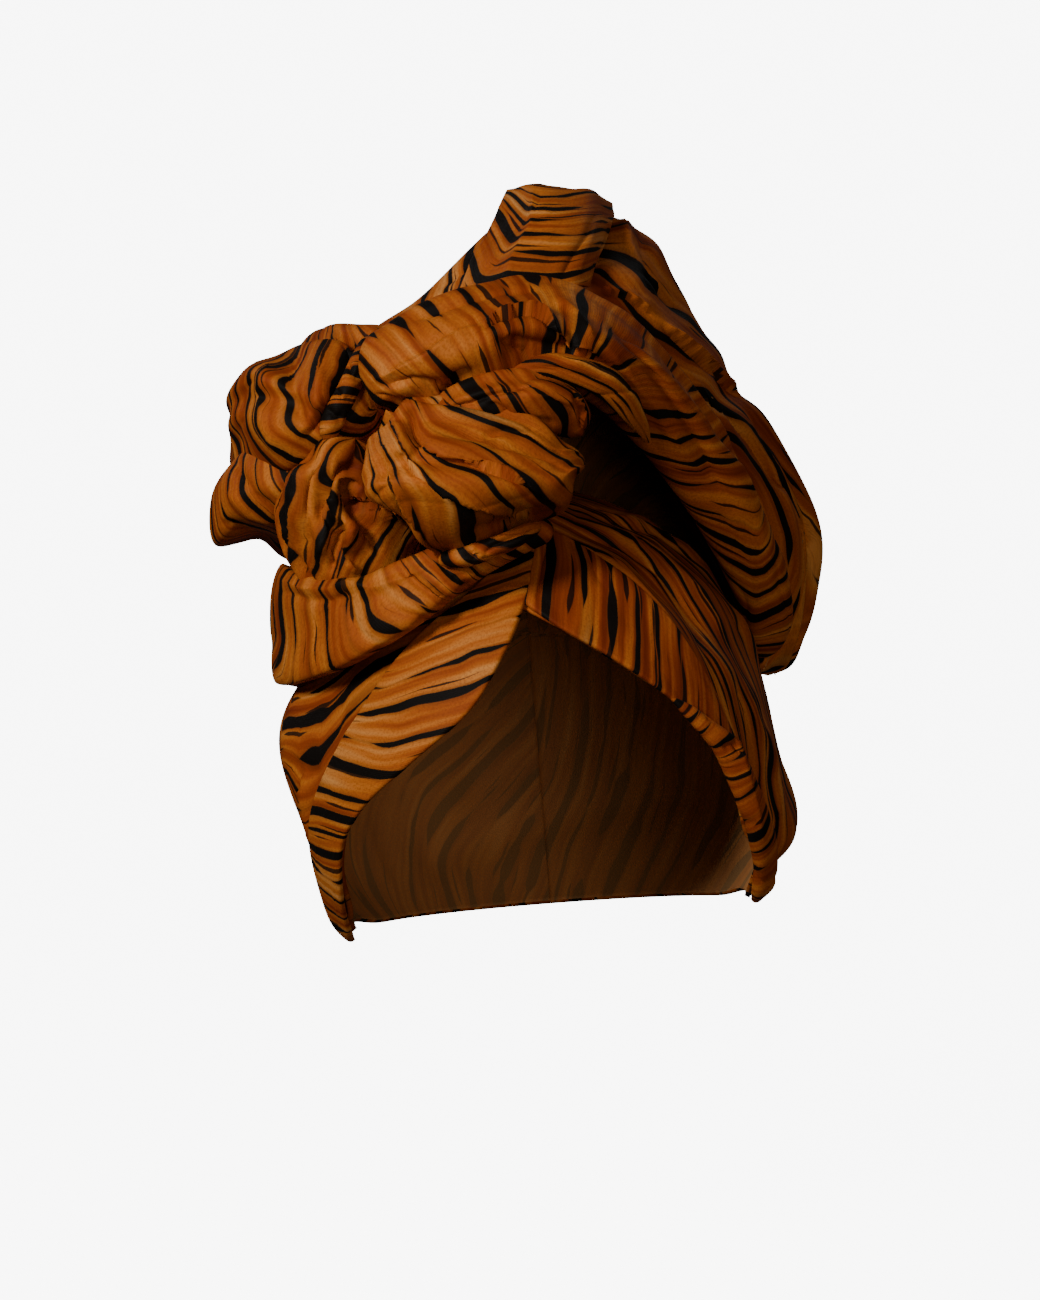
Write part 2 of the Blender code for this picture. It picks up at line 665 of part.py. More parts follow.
def main():
    for old in list(bpy.data.objects):
        bpy.data.objects.remove(old)
    cap = carve(make_cap())
    left_band = carve(make_band("front_band_left", LEFT_BAND), cap)
    right_band = carve(make_band("front_band_right", RIGHT_BAND), cap, left_band)
    carve(make_temple_roll(), cap, right_band)
    sash = roll("side_sash", SASH, SASH_WIDTH, SASH_THICKNESS, SASH_FOLDS, 2.2, 32, 12, 0.02)
    carve(sash, cap, left_band, right_band)
    tuck = roll("side_tuck", TUCK, TUCK_WIDTH, TUCK_THICKNESS, TUCK_FOLDS, 1.2, 10, 22, 0.16)
    carve(tuck, cap, sash)
    knot = roll("front_knot", KNOT, KNOT_HEIGHT, KNOT_THICKNESS, KNOT_FOLDS, 2.0, 12, 28, 0.20)
    carve(knot, cap, left_band, right_band, sash, tuck)
    inner = roll("inner_fold", INNER, INNER_WIDTH, INNER_THICKNESS, INNER_FOLDS, 1.6, 11, 14, 0.14)
    carve(inner, cap, knot, tuck)
    arch = roll("arch_roll", ARCH, ARCH_WIDTH, ARCH_THICKNESS, ARCH_FOLDS, 1.3, 24, 20, 0.08)
    carve(arch, cap, knot, inner, tuck)
    lip = roll("arch_lip", LIP, LIP_WIDTH, LIP_THICKNESS, (), 1.0, 14, 12, 0.12)
    carve(lip, arch, inner, knot)
    drape = make_drape()
    carve(drape, cap, sash, arch, tuck, knot, inner)
    loop = roll("side_loop", LOOP, LOOP_WIDTH, LOOP_THICKNESS, LOOP_FOLDS, 1.0, 12, 22, 0.14)
    carve(loop, cap, tuck, arch, knot, inner, drape)
    low_loop = roll(
        "low_loop", LOW_LOOP, LOW_LOOP_WIDTH, LOW_LOOP_THICKNESS, LOW_LOOP_FOLDS, 1.2, 11, 18, 0.16
    )
    carve(low_loop, cap, tuck, sash, drape, loop)
    top_fold = roll(
        "top_fold", TOP_FOLD, TOP_FOLD_WIDTH, TOP_FOLD_THICKNESS, (), 1.0, 14, 14, 0.10
    )
    carve(top_fold, arch, drape)
    for cutter in [piece for piece in bpy.data.objects if piece.hide_render]:
        bpy.data.objects.remove(cutter)


main()
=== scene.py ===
# %% [markdown]
# # A turban headwrap in tiger-striped jersey
# The part is one length of soft printed cloth, wrapped over a head and built up into rolls, loops and
# a drape. The CAD frame gives every piece's place. Each piece is made again here as cloth, on the same
# lines but with many more points, so that it can take folds, and the printed stripes follow its grain.

# %% Load the frame
import math
from collections import namedtuple
from functools import partial

import bpy
import numpy as np
from mathutils import Matrix, Vector


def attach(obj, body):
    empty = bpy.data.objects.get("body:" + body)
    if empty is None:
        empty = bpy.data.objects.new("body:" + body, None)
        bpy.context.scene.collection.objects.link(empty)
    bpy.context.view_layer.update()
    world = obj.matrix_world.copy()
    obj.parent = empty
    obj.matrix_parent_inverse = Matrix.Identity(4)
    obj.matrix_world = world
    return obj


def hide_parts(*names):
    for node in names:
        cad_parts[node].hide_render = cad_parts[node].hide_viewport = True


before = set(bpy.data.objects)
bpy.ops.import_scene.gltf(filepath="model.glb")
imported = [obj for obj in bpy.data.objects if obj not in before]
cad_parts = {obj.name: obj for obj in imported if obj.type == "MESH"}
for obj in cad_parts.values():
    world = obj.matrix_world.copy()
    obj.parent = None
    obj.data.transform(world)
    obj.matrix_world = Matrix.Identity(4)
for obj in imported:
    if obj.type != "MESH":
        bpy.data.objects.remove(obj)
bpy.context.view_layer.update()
print("nodes:", ", ".join(sorted(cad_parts)))

# %% [markdown]
# ## Camera
# The picture was taken from just above the brow, with the camera turned a little. A camera is placed
# by its aim, its distance and its tilt, and its matrix is written from those. It comes first, because
# folds and stripes are later given as places in the picture it takes, 1040 wide and 1300 high.

# %% Camera
PICTURE = (1040, 1300)
FOCAL = 3283.6
AIM = np.array([-0.0036, 0.0, 0.044])
AWAY, TILT, ROLL = 1.10, math.radians(5), math.radians(4.5)
look = np.array([0.0, math.cos(TILT), -math.sin(TILT)])
level_up = np.array([0.0, math.sin(TILT), math.cos(TILT)])
right = math.cos(ROLL) * np.array([1.0, 0, 0]) - math.sin(ROLL) * level_up
up = math.sin(ROLL) * np.array([1.0, 0, 0]) + math.cos(ROLL) * level_up
eye = AIM - look * AWAY

lens = bpy.data.cameras.new("photo_camera")
lens.sensor_fit, lens.sensor_height = "VERTICAL", 36.0
lens.lens = FOCAL / PICTURE[1] * 36.0
camera = bpy.data.objects.new("photo_camera", lens)
bpy.context.scene.collection.objects.link(camera)
camera.matrix_world = Matrix([
    [right[0], up[0], -look[0], eye[0]],
    [right[1], up[1], -look[1], eye[1]],
    [right[2], up[2], -look[2], eye[2]],
    [0, 0, 0, 1],
])
bpy.context.scene.camera = camera


def seen(points):
    """Where points come in the picture: across from its left side and down from its top."""
    away = points - eye
    deep = away @ look
    across = PICTURE[0] / 2 + FOCAL * (away @ right) / deep
    down = PICTURE[1] / 2 - FOCAL * (away @ up) / deep
    return np.stack([across, down], axis=-1)


def placed(x, y, near):
    """The point seen at a place in the picture, some millimetres nearer than the middle of the head."""
    deep = AWAY - near / 1000
    return eye + deep * (look + (x - PICTURE[0] / 2) / FOCAL * right - (y - PICTURE[1] / 2) / FOCAL * up)


MILLIMETRES = 1000 * AWAY / FOCAL
print(f"one step of the picture is {MILLIMETRES:.3f} mm on the part")

# %% [markdown]
# ## Sizes of the head and the cloth
# The cap is made for one head size, so every place is a share of that head, or degrees round it and
# above its girth line. These are the same values as in the CAD, so each cloth piece lands on its node.

# %% Sizes
HALF_WIDTH, HALF_LENGTH, CROWN, JAW = 0.078, 0.098, 0.096, 0.078
CAP_WALL, BAND_WALL = 0.002, 0.002
REST = CAP_WALL + 0.0008
SHARES = np.array([HALF_WIDTH, HALF_LENGTH, CROWN])
HUB = np.array([0.0, 0.0, 0.45 * CROWN])


def smooth(rows, shares):
    """Rows of a table read at shares of the way through it, on a smooth curve."""
    rows = np.asarray(rows, float)
    shares = np.asarray(shares, float)
    place = np.clip(shares.ravel(), 0, 1) * (len(rows) - 1)
    first = np.minimum(place.astype(int), len(rows) - 2)
    step = (place - first)[:, None]
    a, b, c = rows[np.maximum(first - 1, 0)], rows[first], rows[first + 1]
    d = rows[np.minimum(first + 2, len(rows) - 1)]
    out = 2 * b + (c - a) * step + (2 * a - 5 * b + 4 * c - d) * step**2
    out += (3 * b - a - 3 * c + d) * step**3
    return out.reshape(shares.shape + (rows.shape[1],)) / 2


def on_head(turn, rise, lift):
    """Points at places on the head, lifted off it."""
    around, high = np.radians(turn), np.radians(rise)
    tall = np.where(np.asarray(rise) >= 0, CROWN, JAW) + lift
    return np.stack([
        (HALF_WIDTH + lift) * np.cos(high) * np.sin(around),
        -(HALF_LENGTH + lift) * np.cos(high) * np.cos(around),
        tall * np.sin(high),
    ], axis=-1)


def off_head(points, lift):
    """Points, with those that lie inside the cap moved straight out onto it."""
    tall = np.where(points[..., 2] >= 0, CROWN, JAW) + lift
    reach = np.sqrt(
        (points[..., 0] / (HALF_WIDTH + lift)) ** 2
        + (points[..., 1] / (HALF_LENGTH + lift)) ** 2
        + (points[..., 2] / tall) ** 2
    )
    return points / np.minimum(reach, 1.0)[..., None]


print(f"head {2000 * HALF_WIDTH:.0f} x {2000 * HALF_LENGTH:.0f} mm")

# %% [markdown]
# ## Folds
# Cloth that is bunched shows three kinds of relief: long soft folds, sharp creases where it turns over
# itself, and small puckers. They could be simulated, but a wrap is pulled and tucked by hand, and a
# simulation would not know where. So folds are moved in by code: a soft random field gives the small
# ones, and each crease that shows is a line given by its places in the picture.

# %% Fold helpers
def patches(across, along, seed):
    """Soft random hills and dips from -1 to 1, about one to each unit of both lengths."""
    table = np.random.default_rng(seed).uniform(-1, 1, (64, 64))
    i, j = np.floor(across).astype(int), np.floor(along).astype(int)
    a, b = across - i, along - j
    a, b = a * a * (3 - 2 * a), b * b * (3 - 2 * b)
    near = table[i % 64, j % 64] * (1 - a) + table[(i + 1) % 64, j % 64] * a
    far = table[i % 64, (j + 1) % 64] * (1 - a) + table[(i + 1) % 64, (j + 1) % 64] * a
    return near * (1 - b) + far * b


def pulls(across, along, seed):
    """Thin pulled lines, 1 on a line and 0 off it, about one to each unit across."""
    return (1 - np.abs(patches(across, along, seed))) ** 5


def normals(points):
    """The way out of a grid of points at each of them."""
    down = np.gradient(points, axis=0)
    over = np.gradient(points, axis=1)
    way = np.cross(down, over)
    return way / np.maximum(np.linalg.norm(way, axis=-1, keepdims=True), 1e-12)


# x, y and reach are steps of the picture. right, up and near are millimetres.
Grab = namedtuple("Grab", "x y right up near reach")


def grab(points, grabs):
    """Takes hold of the cloth at places in the picture and moves it, less and less away from them."""
    for hold in grabs:
        off = np.linalg.norm(seen(points) - (hold.x, hold.y), axis=-1)
        move = (hold.right * right + hold.up * up - hold.near * look) / 1000
        points = points + np.exp(-((off / hold.reach) ** 2))[..., None] * move
    return points


# path is the places in the picture that it goes through. deep and wide are millimetres.
Crease = namedtuple("Crease", "kind deep wide path")
FOLD_DEPTH = 1.6


def valley(deep, wide, *path):
    return Crease("valley", deep, wide, path)


def ridge(deep, wide, *path):
    return Crease("ridge", deep, wide, path)


def lap(deep, wide, *path):
    """A crease where the cloth on the left of the path lies over the cloth on its right."""
    return Crease("lap", deep, wide, path)


def crease(points, creases):
    """Presses creases into the side of a grid that faces the camera."""
    for line in creases:
        way = normals(points)
        toward = eye - points
        toward /= np.linalg.norm(toward, axis=-1, keepdims=True)
        facing = np.clip((way * toward).sum(-1) * 4, 0, 1)
        place = seen(points)
        path = np.asarray(line.path, float)
        steps = np.linalg.norm(np.diff(path, axis=0), axis=1)
        starts = np.concatenate([[0], np.cumsum(steps)])
        best = np.full(place.shape[:2], 1e9)
        side, run = np.zeros_like(best), np.zeros_like(best)
        for a, b, step, start in zip(path, path[1:], steps, starts):
            off = place - a
            share = np.clip((off @ (b - a)) / step**2, 0, 1)
            rest = off - share[..., None] * (b - a)
            far = np.linalg.norm(rest, axis=-1)
            turn = (b - a)[0] * off[..., 1] - (b - a)[1] * off[..., 0]
            new = far < best
            best = np.where(new, far, best)
            side = np.where(new, np.sign(turn), side)
            run = np.where(new, start + share * step, run)
        run = run / starts[-1]
        ends = np.clip(np.minimum(run, 1 - run) * 5 + 0.15, 0, 1)
        best = best * MILLIMETRES / line.wide
        if line.kind == "lap":
            press = np.where(side < 0, np.exp(-best), -0.55 * np.exp(-((best / 0.6) ** 2)))
        else:
            press = np.exp(-(best**1.2)) * (1 if line.kind == "ridge" else -1)
        move = FOLD_DEPTH * line.deep / 1000 * press * ends * facing
        points = points + way * move[..., None]
    return points


# %% [markdown]
# ## Laying the print on the cloth
# The stripes are printed along the cloth's grain, and the grain turns with every wrap. A flat or a
# cylinder projection would slide over the folds. Here a few strokes per piece say which way the
# stripes run, the direction is spread over the whole piece, and one smooth pair of coordinates in
# metres is solved for that follows it as closely as cloth can. It becomes the piece's UV map.

# %% Print layout
def spread(points, strokes, every):
    """A thinned grid, its edge lengths and the stripes' direction at each of its points."""
    rows = np.unique(np.linspace(0, points.shape[0] - 1, every).astype(int))
    columns = np.unique(np.linspace(0, points.shape[1] - 1, every).astype(int))
    thin = points[np.ix_(rows, columns)]
    way = normals(points)
    toward = eye - points
    toward /= np.linalg.norm(toward, axis=-1, keepdims=True)
    facing = (way * toward).sum(-1) > 0.05
    place = seen(points)
    down = np.maximum(np.linalg.norm(np.diff(thin, axis=0), axis=-1), 3e-4)
    over = np.maximum(np.linalg.norm(np.diff(thin, axis=1), axis=-1), 3e-4)
    long_way = np.concatenate([np.zeros((1, down.shape[1])), np.cumsum(down, axis=0)])
    cross_way = np.concatenate([np.zeros((over.shape[0], 1)), np.cumsum(over, axis=1)], axis=1)
    cross_way -= cross_way[:, cross_way.shape[1] // 2, None]
    index_r = np.interp(np.arange(points.shape[0]), rows, np.arange(len(rows)))
    index_c = np.interp(np.arange(points.shape[1]), columns, np.arange(len(columns)))
    spots, ways, missed = [], [], 0
    for stroke in strokes:
        for one, two in zip(stroke, stroke[1:]):
            found = []
            for spot in (one, two):
                off = np.linalg.norm(place - np.asarray(spot, float), axis=-1)
                off = np.where(facing, off, off + 1e3)
                i, j = np.unravel_index(np.argmin(off), off.shape)
                missed += off[i, j] > 9
                a, b = int(round(index_r[i])), int(round(index_c[j]))
                found.append((long_way[a, b], cross_way[a, b]))
            (s1, t1), (s2, t2) = found
            size = math.hypot(s2 - s1, t2 - t1)
            if size > 1e-4:
                spots.append(((s1 + s2) / 2, (t1 + t2) / 2))
                ways.append(((s2 - s1) / size, (t2 - t1) / size))
    spots, ways = np.array(spots), np.array(ways)
    flow = np.zeros(thin.shape[:2] + (2,))
    for spot, direction in zip(spots, ways):
        off = (long_way - spot[0]) ** 2 + (cross_way - spot[1]) ** 2
        flow += direction / (off + 0.004**2)[..., None] ** 1.5
    flow /= np.maximum(np.linalg.norm(flow, axis=-1, keepdims=True), 1e-9)
    care = 0.12 + facing[np.ix_(rows, columns)]
    return rows, columns, down, over, flow, care, missed


def slope_of(field, down, over):
    """How steeply a field rises along both ways of a grid."""
    steep = np.diff(field, axis=0) / down
    steep = np.concatenate([steep[:1], (steep[1:] + steep[:-1]) / 2, steep[-1:]])
    cross = np.diff(field, axis=1) / over
    cross = np.concatenate([cross[:, :1], (cross[:, 1:] + cross[:, :-1]) / 2, cross[:, -1:]], axis=1)
    return np.stack([steep, cross], axis=-1)


def settle(down, over, flow, care):
    """The smooth field whose slope comes closest to a flow, by conjugate gradients."""
    mean_over = np.concatenate([over[:, :1], (over[:, 1:] + over[:, :-1]) / 2, over[:, -1:]], axis=1)
    mean_down = np.concatenate([down[:1], (down[1:] + down[:-1]) / 2, down[-1:]])
    weigh_down = (mean_over[1:] + mean_over[:-1]) / 2 / down * (care[1:] + care[:-1])
    weigh_over = (mean_down[:, 1:] + mean_down[:, :-1]) / 2 / over * (care[:, 1:] + care[:, :-1])
    rise_down = (flow[1:, :, 0] + flow[:-1, :, 0]) / 2 * down
    rise_over = (flow[:, 1:, 1] + flow[:, :-1, 1]) / 2 * over

    def gather(a, b):
        out = np.zeros(flow.shape[:2])
        out[1:] += a
        out[:-1] -= a
        out[:, 1:] += b
        out[:, :-1] -= b
        return out

    def pull(field):
        return gather(weigh_down * np.diff(field, axis=0), weigh_over * np.diff(field, axis=1))

    field = np.zeros(flow.shape[:2])
    left = gather(weigh_down * rise_down, weigh_over * rise_over)
    step = left.copy()
    size = (left * left).sum()
    for _ in range(300):
        pulled = pull(step)
        length = size / max((step * pulled).sum(), 1e-30)
        field += length * step
        left -= length * pulled
        new = (left * left).sum()
        if new < 1e-16:
            break
        step = left + new / size * step
        size = new
    return field


def lay_print(points, strokes, fan=0, every=56):
    """Print coordinates in metres over a grid: u along the stripes and v across them."""
    rows, columns, down, over, flow, care, missed = spread(points, strokes, every)
    across = np.stack([-flow[..., 1], flow[..., 0]], axis=-1)
    along_field = settle(down, over, flow, care)
    across_field = settle(down, over, across, care)
    # Stripes that fan out also lie wider apart, so the slope may change while its way is kept.
    for _ in range(fan):
        size = (slope_of(across_field, down, over) * across).sum(-1)
        size = np.clip(size / np.average(size, weights=care), 0.6, 1.6)
        across_field = settle(down, over, across * size[..., None], care)
    out = []
    for thin in (along_field, across_field):
        tall = np.array([np.interp(np.arange(points.shape[1]), columns, row) for row in thin])
        full = np.array([np.interp(np.arange(points.shape[0]), rows, column) for column in tall.T]).T
        out.append(full - full.mean())
    if missed:
        print(f"   {missed} stroke ends fell off the piece")
    return np.stack(out, axis=-1)


# %% [markdown]
# ## From a grid of points to a piece of cloth
# Every piece is a grid of points. A flat one keeps its edges. A roll is closed round its length and
# rounds off to one point at each end. Faces are four-sided, so the folds shade smoothly.

# %% Cloth pieces
def new_cloth(name, points, print_map, closed=False):
    """A piece of cloth from a grid of points and its print coordinates."""
    rows, columns = points.shape[:2]
    if closed:
        flat = [points[0, 0]] + list(points[1:-1, :-1].reshape(-1, 3)) + [points[-1, 0]]
        sides = columns - 1

        def corner(row, column):
            if row in (0, rows - 1):
                return 0 if row == 0 else len(flat) - 1
            return 1 + (row - 1) * sides + column % sides
    else:
        flat = list(points.reshape(-1, 3))

        def corner(row, column):
            return row * columns + column
    faces, places = [], []
    for row in range(rows - 1):
        for column in range(columns - 1):
            ring = [(row, column), (row + 1, column), (row + 1, column + 1), (row, column + 1)]
            if closed and row == 0:
                ring = ring[:3]
            if closed and row == rows - 2:
                ring = [ring[0], ring[1], ring[3]]
            faces.append([corner(*spot) for spot in ring])
            places += [print_map[spot] for spot in ring]
    mesh = bpy.data.meshes.new(name)
    mesh.from_pydata([tuple(p) for p in flat], [], faces)
    uvs = mesh.uv_layers.new(name="print")
    uvs.data.foreach_set("uv", np.array(places, dtype=np.float32).ravel())
    mesh.shade_smooth()
    piece = bpy.data.objects.new(name, mesh)
    bpy.context.scene.collection.objects.link(piece)
    area = sum(face.area for face in mesh.polygons)
    print(f"{name}: {len(faces)} faces, {area * 1e4:.0f} cm2")
    return piece


def lined(piece, wall):
    """Gives a flat piece of cloth its thickness, inwards."""
    solid = piece.modifiers.new("wall", "SOLIDIFY")
    solid.thickness, solid.offset = wall, -1.0
    solid.use_even_offset = False
    return piece

# %% [markdown]
# ## The tiger print
# A tiger print is long dark streaks that taper to a point, on a ground of ochre, orange and rust that
# is streaked the same way. It could be painted, but then it would have one size and place. Here it is
# worked out from the print coordinates: each streak lies on its own line, a slow noise along that line
# makes it swell and end, and a second noise bends all the lines together, as they are drawn on cloth.

# %% Node helpers
def new_group(name, takes, gives):
    """An empty node group with its inputs, as name, kind and value, and its outputs."""
    tree = bpy.data.node_groups.new(name, "ShaderNodeTree")
    for label, kind, value in takes:
        tree.interface.new_socket(label, in_out="INPUT", socket_type=kind).default_value = value
    for label, kind in gives:
        tree.interface.new_socket(label, in_out="OUTPUT", socket_type=kind)
    return tree, tree.nodes.new("NodeGroupInput").outputs, tree.nodes.new("NodeGroupOutput").inputs


def plug(tree, socket, value):
    """Joins a socket to another one, or sets its value."""
    if isinstance(value, bpy.types.NodeSocket):
        tree.links.new(value, socket)
    elif value is not None:
        socket.default_value = value


def step_of(tree, operation, *values):
    """One step of arithmetic."""
    node = tree.nodes.new("ShaderNodeMath")
    node.operation = operation
    for socket, value in zip(node.inputs, values):
        plug(tree, socket, value)
    return node.outputs[0]


def arithmetic(tree):
    """Plus, minus, times and over for one node tree."""
    return [partial(step_of, tree, name) for name in ("ADD", "SUBTRACT", "MULTIPLY", "DIVIDE")]


def spot(tree, x, y, z=0.0):
    """A place made of up to three values."""
    node = tree.nodes.new("ShaderNodeCombineXYZ")
    for socket, value in zip(node.inputs, (x, y, z)):
        plug(tree, socket, value)
    return node.outputs[0]


def noise(tree, place, detail=2.0, rough=0.5):
    """Soft noise, with hills one unit across."""
    node = tree.nodes.new("ShaderNodeTexNoise")
    plug(tree, node.inputs["Vector"], place)
    node.inputs["Scale"].default_value = 1.0
    node.inputs["Detail"].default_value = detail
    node.inputs["Roughness"].default_value = rough
    return node.outputs["Fac"]


def ease(tree, value, start, end, low=0.0, high=1.0):
    """Goes softly from low to high as a value goes from start to end."""
    node = tree.nodes.new("ShaderNodeMapRange")
    node.interpolation_type = "SMOOTHSTEP"
    for socket, given in zip(node.inputs, (value, start, end, low, high)):
        plug(tree, socket, given)
    return node.outputs[0]


def blend_of(tree, share, one, two):
    """A share of the second colour over the first."""
    node = tree.nodes.new("ShaderNodeMix")
    node.data_type = "RGBA"
    plug(tree, node.inputs["Factor"], share)
    plug(tree, node.inputs["A"], one)
    plug(tree, node.inputs["B"], two)
    return node.outputs["Result"]


def ramp(tree, value, stops):
    """The colour of a value between stops, each a place and a colour."""
    node = tree.nodes.new("ShaderNodeValToRGB")
    elements = node.color_ramp.elements
    while len(elements) < len(stops):
        elements.new(0.5)
    for element, (place, colour) in zip(elements, stops):
        element.position = place
        element.color = (*colour, 1.0)
    plug(tree, node.inputs[0], value)
    return node.outputs[0]


def in_millimetres(tree, place, times):
    """The print coordinates along and across the stripes."""
    apart = tree.nodes.new("ShaderNodeSeparateXYZ")
    plug(tree, apart.inputs[0], place)
    return times(apart.outputs[0], 1000.0), times(apart.outputs[1], 1000.0)


# %% Tiger print group
GROUND = [
    (0.32, (0.135, 0.017, 0.002)), (0.42, (0.245, 0.042, 0.004)), (0.50, (0.350, 0.083, 0.009)),
    (0.58, (0.450, 0.138, 0.020)), (0.70, (0.560, 0.235, 0.058)),
]
FLECK, DUSK = (0.150, 0.028, 0.003, 1.0), (0.070, 0.026, 0.007, 1.0)
FRINGE, INK = (0.130, 0.036, 0.006, 1.0), (0.0045, 0.0030, 0.0022, 1.0)


def tiger_print_group():
    """Colour and ink of the print at a place on the cloth, in metres along and across the stripes."""
    # The last input is painted shade: it lowers the ground tone, so pieces that lie in shade come out
    # darker and redder, and a negative value lightens lit pieces as painted light.
    values = dict(Spacing=9.0, Width=3.4, Waver=6.0, Length=26.0, Seed=0.0, Painted_Shade=0.0)
    sockets = [(name, "NodeSocketFloat", value) for name, value in values.items()]
    tree, takes, gives = new_group(
        "tiger_print",
        [("Place", "NodeSocketVector", (0, 0, 0))] + sockets,
        [("Colour", "NodeSocketColor"), ("Ink", "NodeSocketFloat")],
    )
    plus, minus, times, over = arithmetic(tree)
    u, v = in_millimetres(tree, takes["Place"], times)

    def cloud(x, y, detail=1.0):
        return noise(tree, spot(tree, x, y, takes["Seed"]), detail)

    bend = minus(cloud(over(u, 52.0), over(v, 34.0)), 0.5)
    kink = minus(cloud(over(u, 17.0), over(v, 15.0)), 0.5)
    bend, kink = times(bend, times(takes["Waver"], 2.0)), times(kink, times(takes["Waver"], 0.40))
    bent = plus(v, plus(bend, kink))

    def streaks(lines, length, wide, cut, seeded):
        """Tapered streaks, each on its own line across the print."""
        count = over(bent, lines)
        line = step_of(tree, "FLOOR", count)
        offset = times(step_of(tree, "ABSOLUTE", minus(minus(count, line), 0.5)), lines)
        own = step_of(tree, "MULTIPLY_ADD", line, 7.31, seeded)
        swell = ease(tree, cloud(over(u, length), own), cut, cut + 0.20, -0.35, 1.0)
        dice = tree.nodes.new("ShaderNodeTexWhiteNoise")
        dice.noise_dimensions = "1D"
        plug(tree, dice.inputs["W"], own)
        lot = step_of(tree, "MULTIPLY_ADD", dice.outputs["Value"], 0.9, 0.35)
        return minus(offset, times(times(swell, lot), wide))

    half_width = times(takes["Width"], 0.5)
    main = streaks(takes["Spacing"], takes["Length"], half_width, 0.36, 0.0)
    fine = streaks(times(takes["Spacing"], 0.63), times(takes["Length"], 0.8), times(half_width, 0.42),
                   0.46, 31.7)
    thin_ink = times(ease(tree, fine, 0.18, -0.10), 0.92)
    ink = step_of(tree, "MAXIMUM", ease(tree, main, 0.16, -0.12), thin_ink)

    streak = cloud(over(u, 60.0), over(bent, 3.4), 2.0)
    broad = cloud(over(u, 70.0), over(bent, 10.0))
    # Painted shade: the ground tone is lowered on pieces that lie in shade and raised on lit ones.
    tone = minus(step_of(tree, "MULTIPLY_ADD", streak, 0.62, times(broad, 0.38)), takes["Painted_Shade"])
    fleck = noise(tree, spot(tree, over(u, 0.8), over(v, 0.8), takes["Seed"]), 2.0, 0.6)
    ground = ramp(tree, tone, GROUND)
    for share, colour in (
        (ease(tree, fleck, 0.42, 0.66, 0.0, 0.30), FLECK),
        (ease(tree, broad, 0.66, 0.76, 0.0, 0.45), DUSK),
        (ease(tree, main, 1.2, 0.0, 0.0, 0.45), FRINGE),
        (ink, INK),
    ):
        ground = blend_of(tree, share, ground, colour)
    plug(tree, gives["Colour"], ground)
    plug(tree, gives["Ink"], ink)
    return tree


TIGER_PRINT = tiger_print_group()
print("print group:", len(TIGER_PRINT.nodes), "nodes")

# %% [markdown]
# ## The jersey
# Stretch jersey is knitted, so close up it has fine ribs of loops, and over a few millimetres it is
# never quite even. Both are too small for geometry, so they are heights for a bump, in one group that
# all the finishes share.

# %% Jersey grain group
def jersey_grain_group():
    """Height and dust of the knit at a place on the cloth."""
    tree, takes, gives = new_group(
        "jersey_grain",
        [("Place", "NodeSocketVector", (0, 0, 0)), ("Ribs", "NodeSocketFloat", 0.55),
         ("Unevenness", "NodeSocketFloat", 0.6)],
        [("Height", "NodeSocketFloat"), ("Dust", "NodeSocketFloat")],
    )
    plus, _, times, over = arithmetic(tree)
    u, v = in_millimetres(tree, takes["Place"], times)
    rib = step_of(tree, "SINE", times(over(v, takes["Ribs"]), 6.2832))
    loop = step_of(tree, "SINE", times(over(u, takes["Ribs"]), 9.0))
    knit = times(plus(rib, times(loop, 0.6)), 0.12)
    fuzz = noise(tree, spot(tree, u, v), 4.0, 0.7)
    uneven = times(noise(tree, spot(tree, over(u, 7.0), over(v, 4.0)), 2.0), takes["Unevenness"])
    height = plus(plus(knit, times(fuzz, 0.5)), uneven)
    plug(tree, gives["Height"], height)
    plug(tree, gives["Dust"], fuzz)
    return tree


JERSEY_GRAIN = jersey_grain_group()

# %% [markdown]
# ## One finish per piece
# The cloth is the same everywhere, but each piece comes from another part of the print, so each has a
# finish of its own with another seed, and the stripes don't repeat. The inside of the cap and of the
# drape shows the back of the cloth, where the ink only comes through faintly.

# %% Finishes
CLOTH_BACK = (0.42, 0.22, 0.085, 1.0)


def printed_jersey(name, seed, spacing=9.0, width=3.4, waver=6.0, length=34.0, rust=0.0, back=False):
    """The printed cloth, or its back. spacing, width, waver and length are millimetres of the print. The
    last tone value is painted shade: it darkens and reddens the ground of pieces that lie in shade, and a
    negative value lightens lit pieces as painted light.
    """
    material = bpy.data.materials.new(name)
    material.use_nodes = True
    tree = material.node_tree
    shader = tree.nodes["Principled BSDF"]
    places = tree.nodes.new("ShaderNodeUVMap")
    places.uv_map = "print"
    pattern = tree.nodes.new("ShaderNodeGroup")
    pattern.node_tree = TIGER_PRINT
    plug(tree, pattern.inputs["Place"], places.outputs[0])
    values = {"Spacing": spacing, "Width": width, "Waver": waver, "Length": length,
              "Seed": seed, "Painted_Shade": rust}
    for label, value in values.items():
        pattern.inputs[label].default_value = value
    grain = tree.nodes.new("ShaderNodeGroup")
    grain.node_tree = JERSEY_GRAIN
    plug(tree, grain.inputs["Place"], places.outputs[0])
    colour = pattern.outputs["Colour"]
    if back:
        colour = blend_of(tree, 0.55, colour, CLOTH_BACK)
    plug(tree, shader.inputs["Base Color"], colour)
    rough = step_of(tree, "MULTIPLY_ADD", grain.outputs["Dust"], 0.14, 0.56)
    plug(tree, shader.inputs["Roughness"], rough)
    bump = tree.nodes.new("ShaderNodeBump")
    bump.inputs["Strength"].default_value = 0.35
    bump.inputs["Distance"].default_value = 0.0004
    plug(tree, bump.inputs["Height"], grain.outputs["Height"])
    plug(tree, shader.inputs["Normal"], bump.outputs[0])
    shader.inputs["Specular IOR Level"].default_value = 0.08
    return material


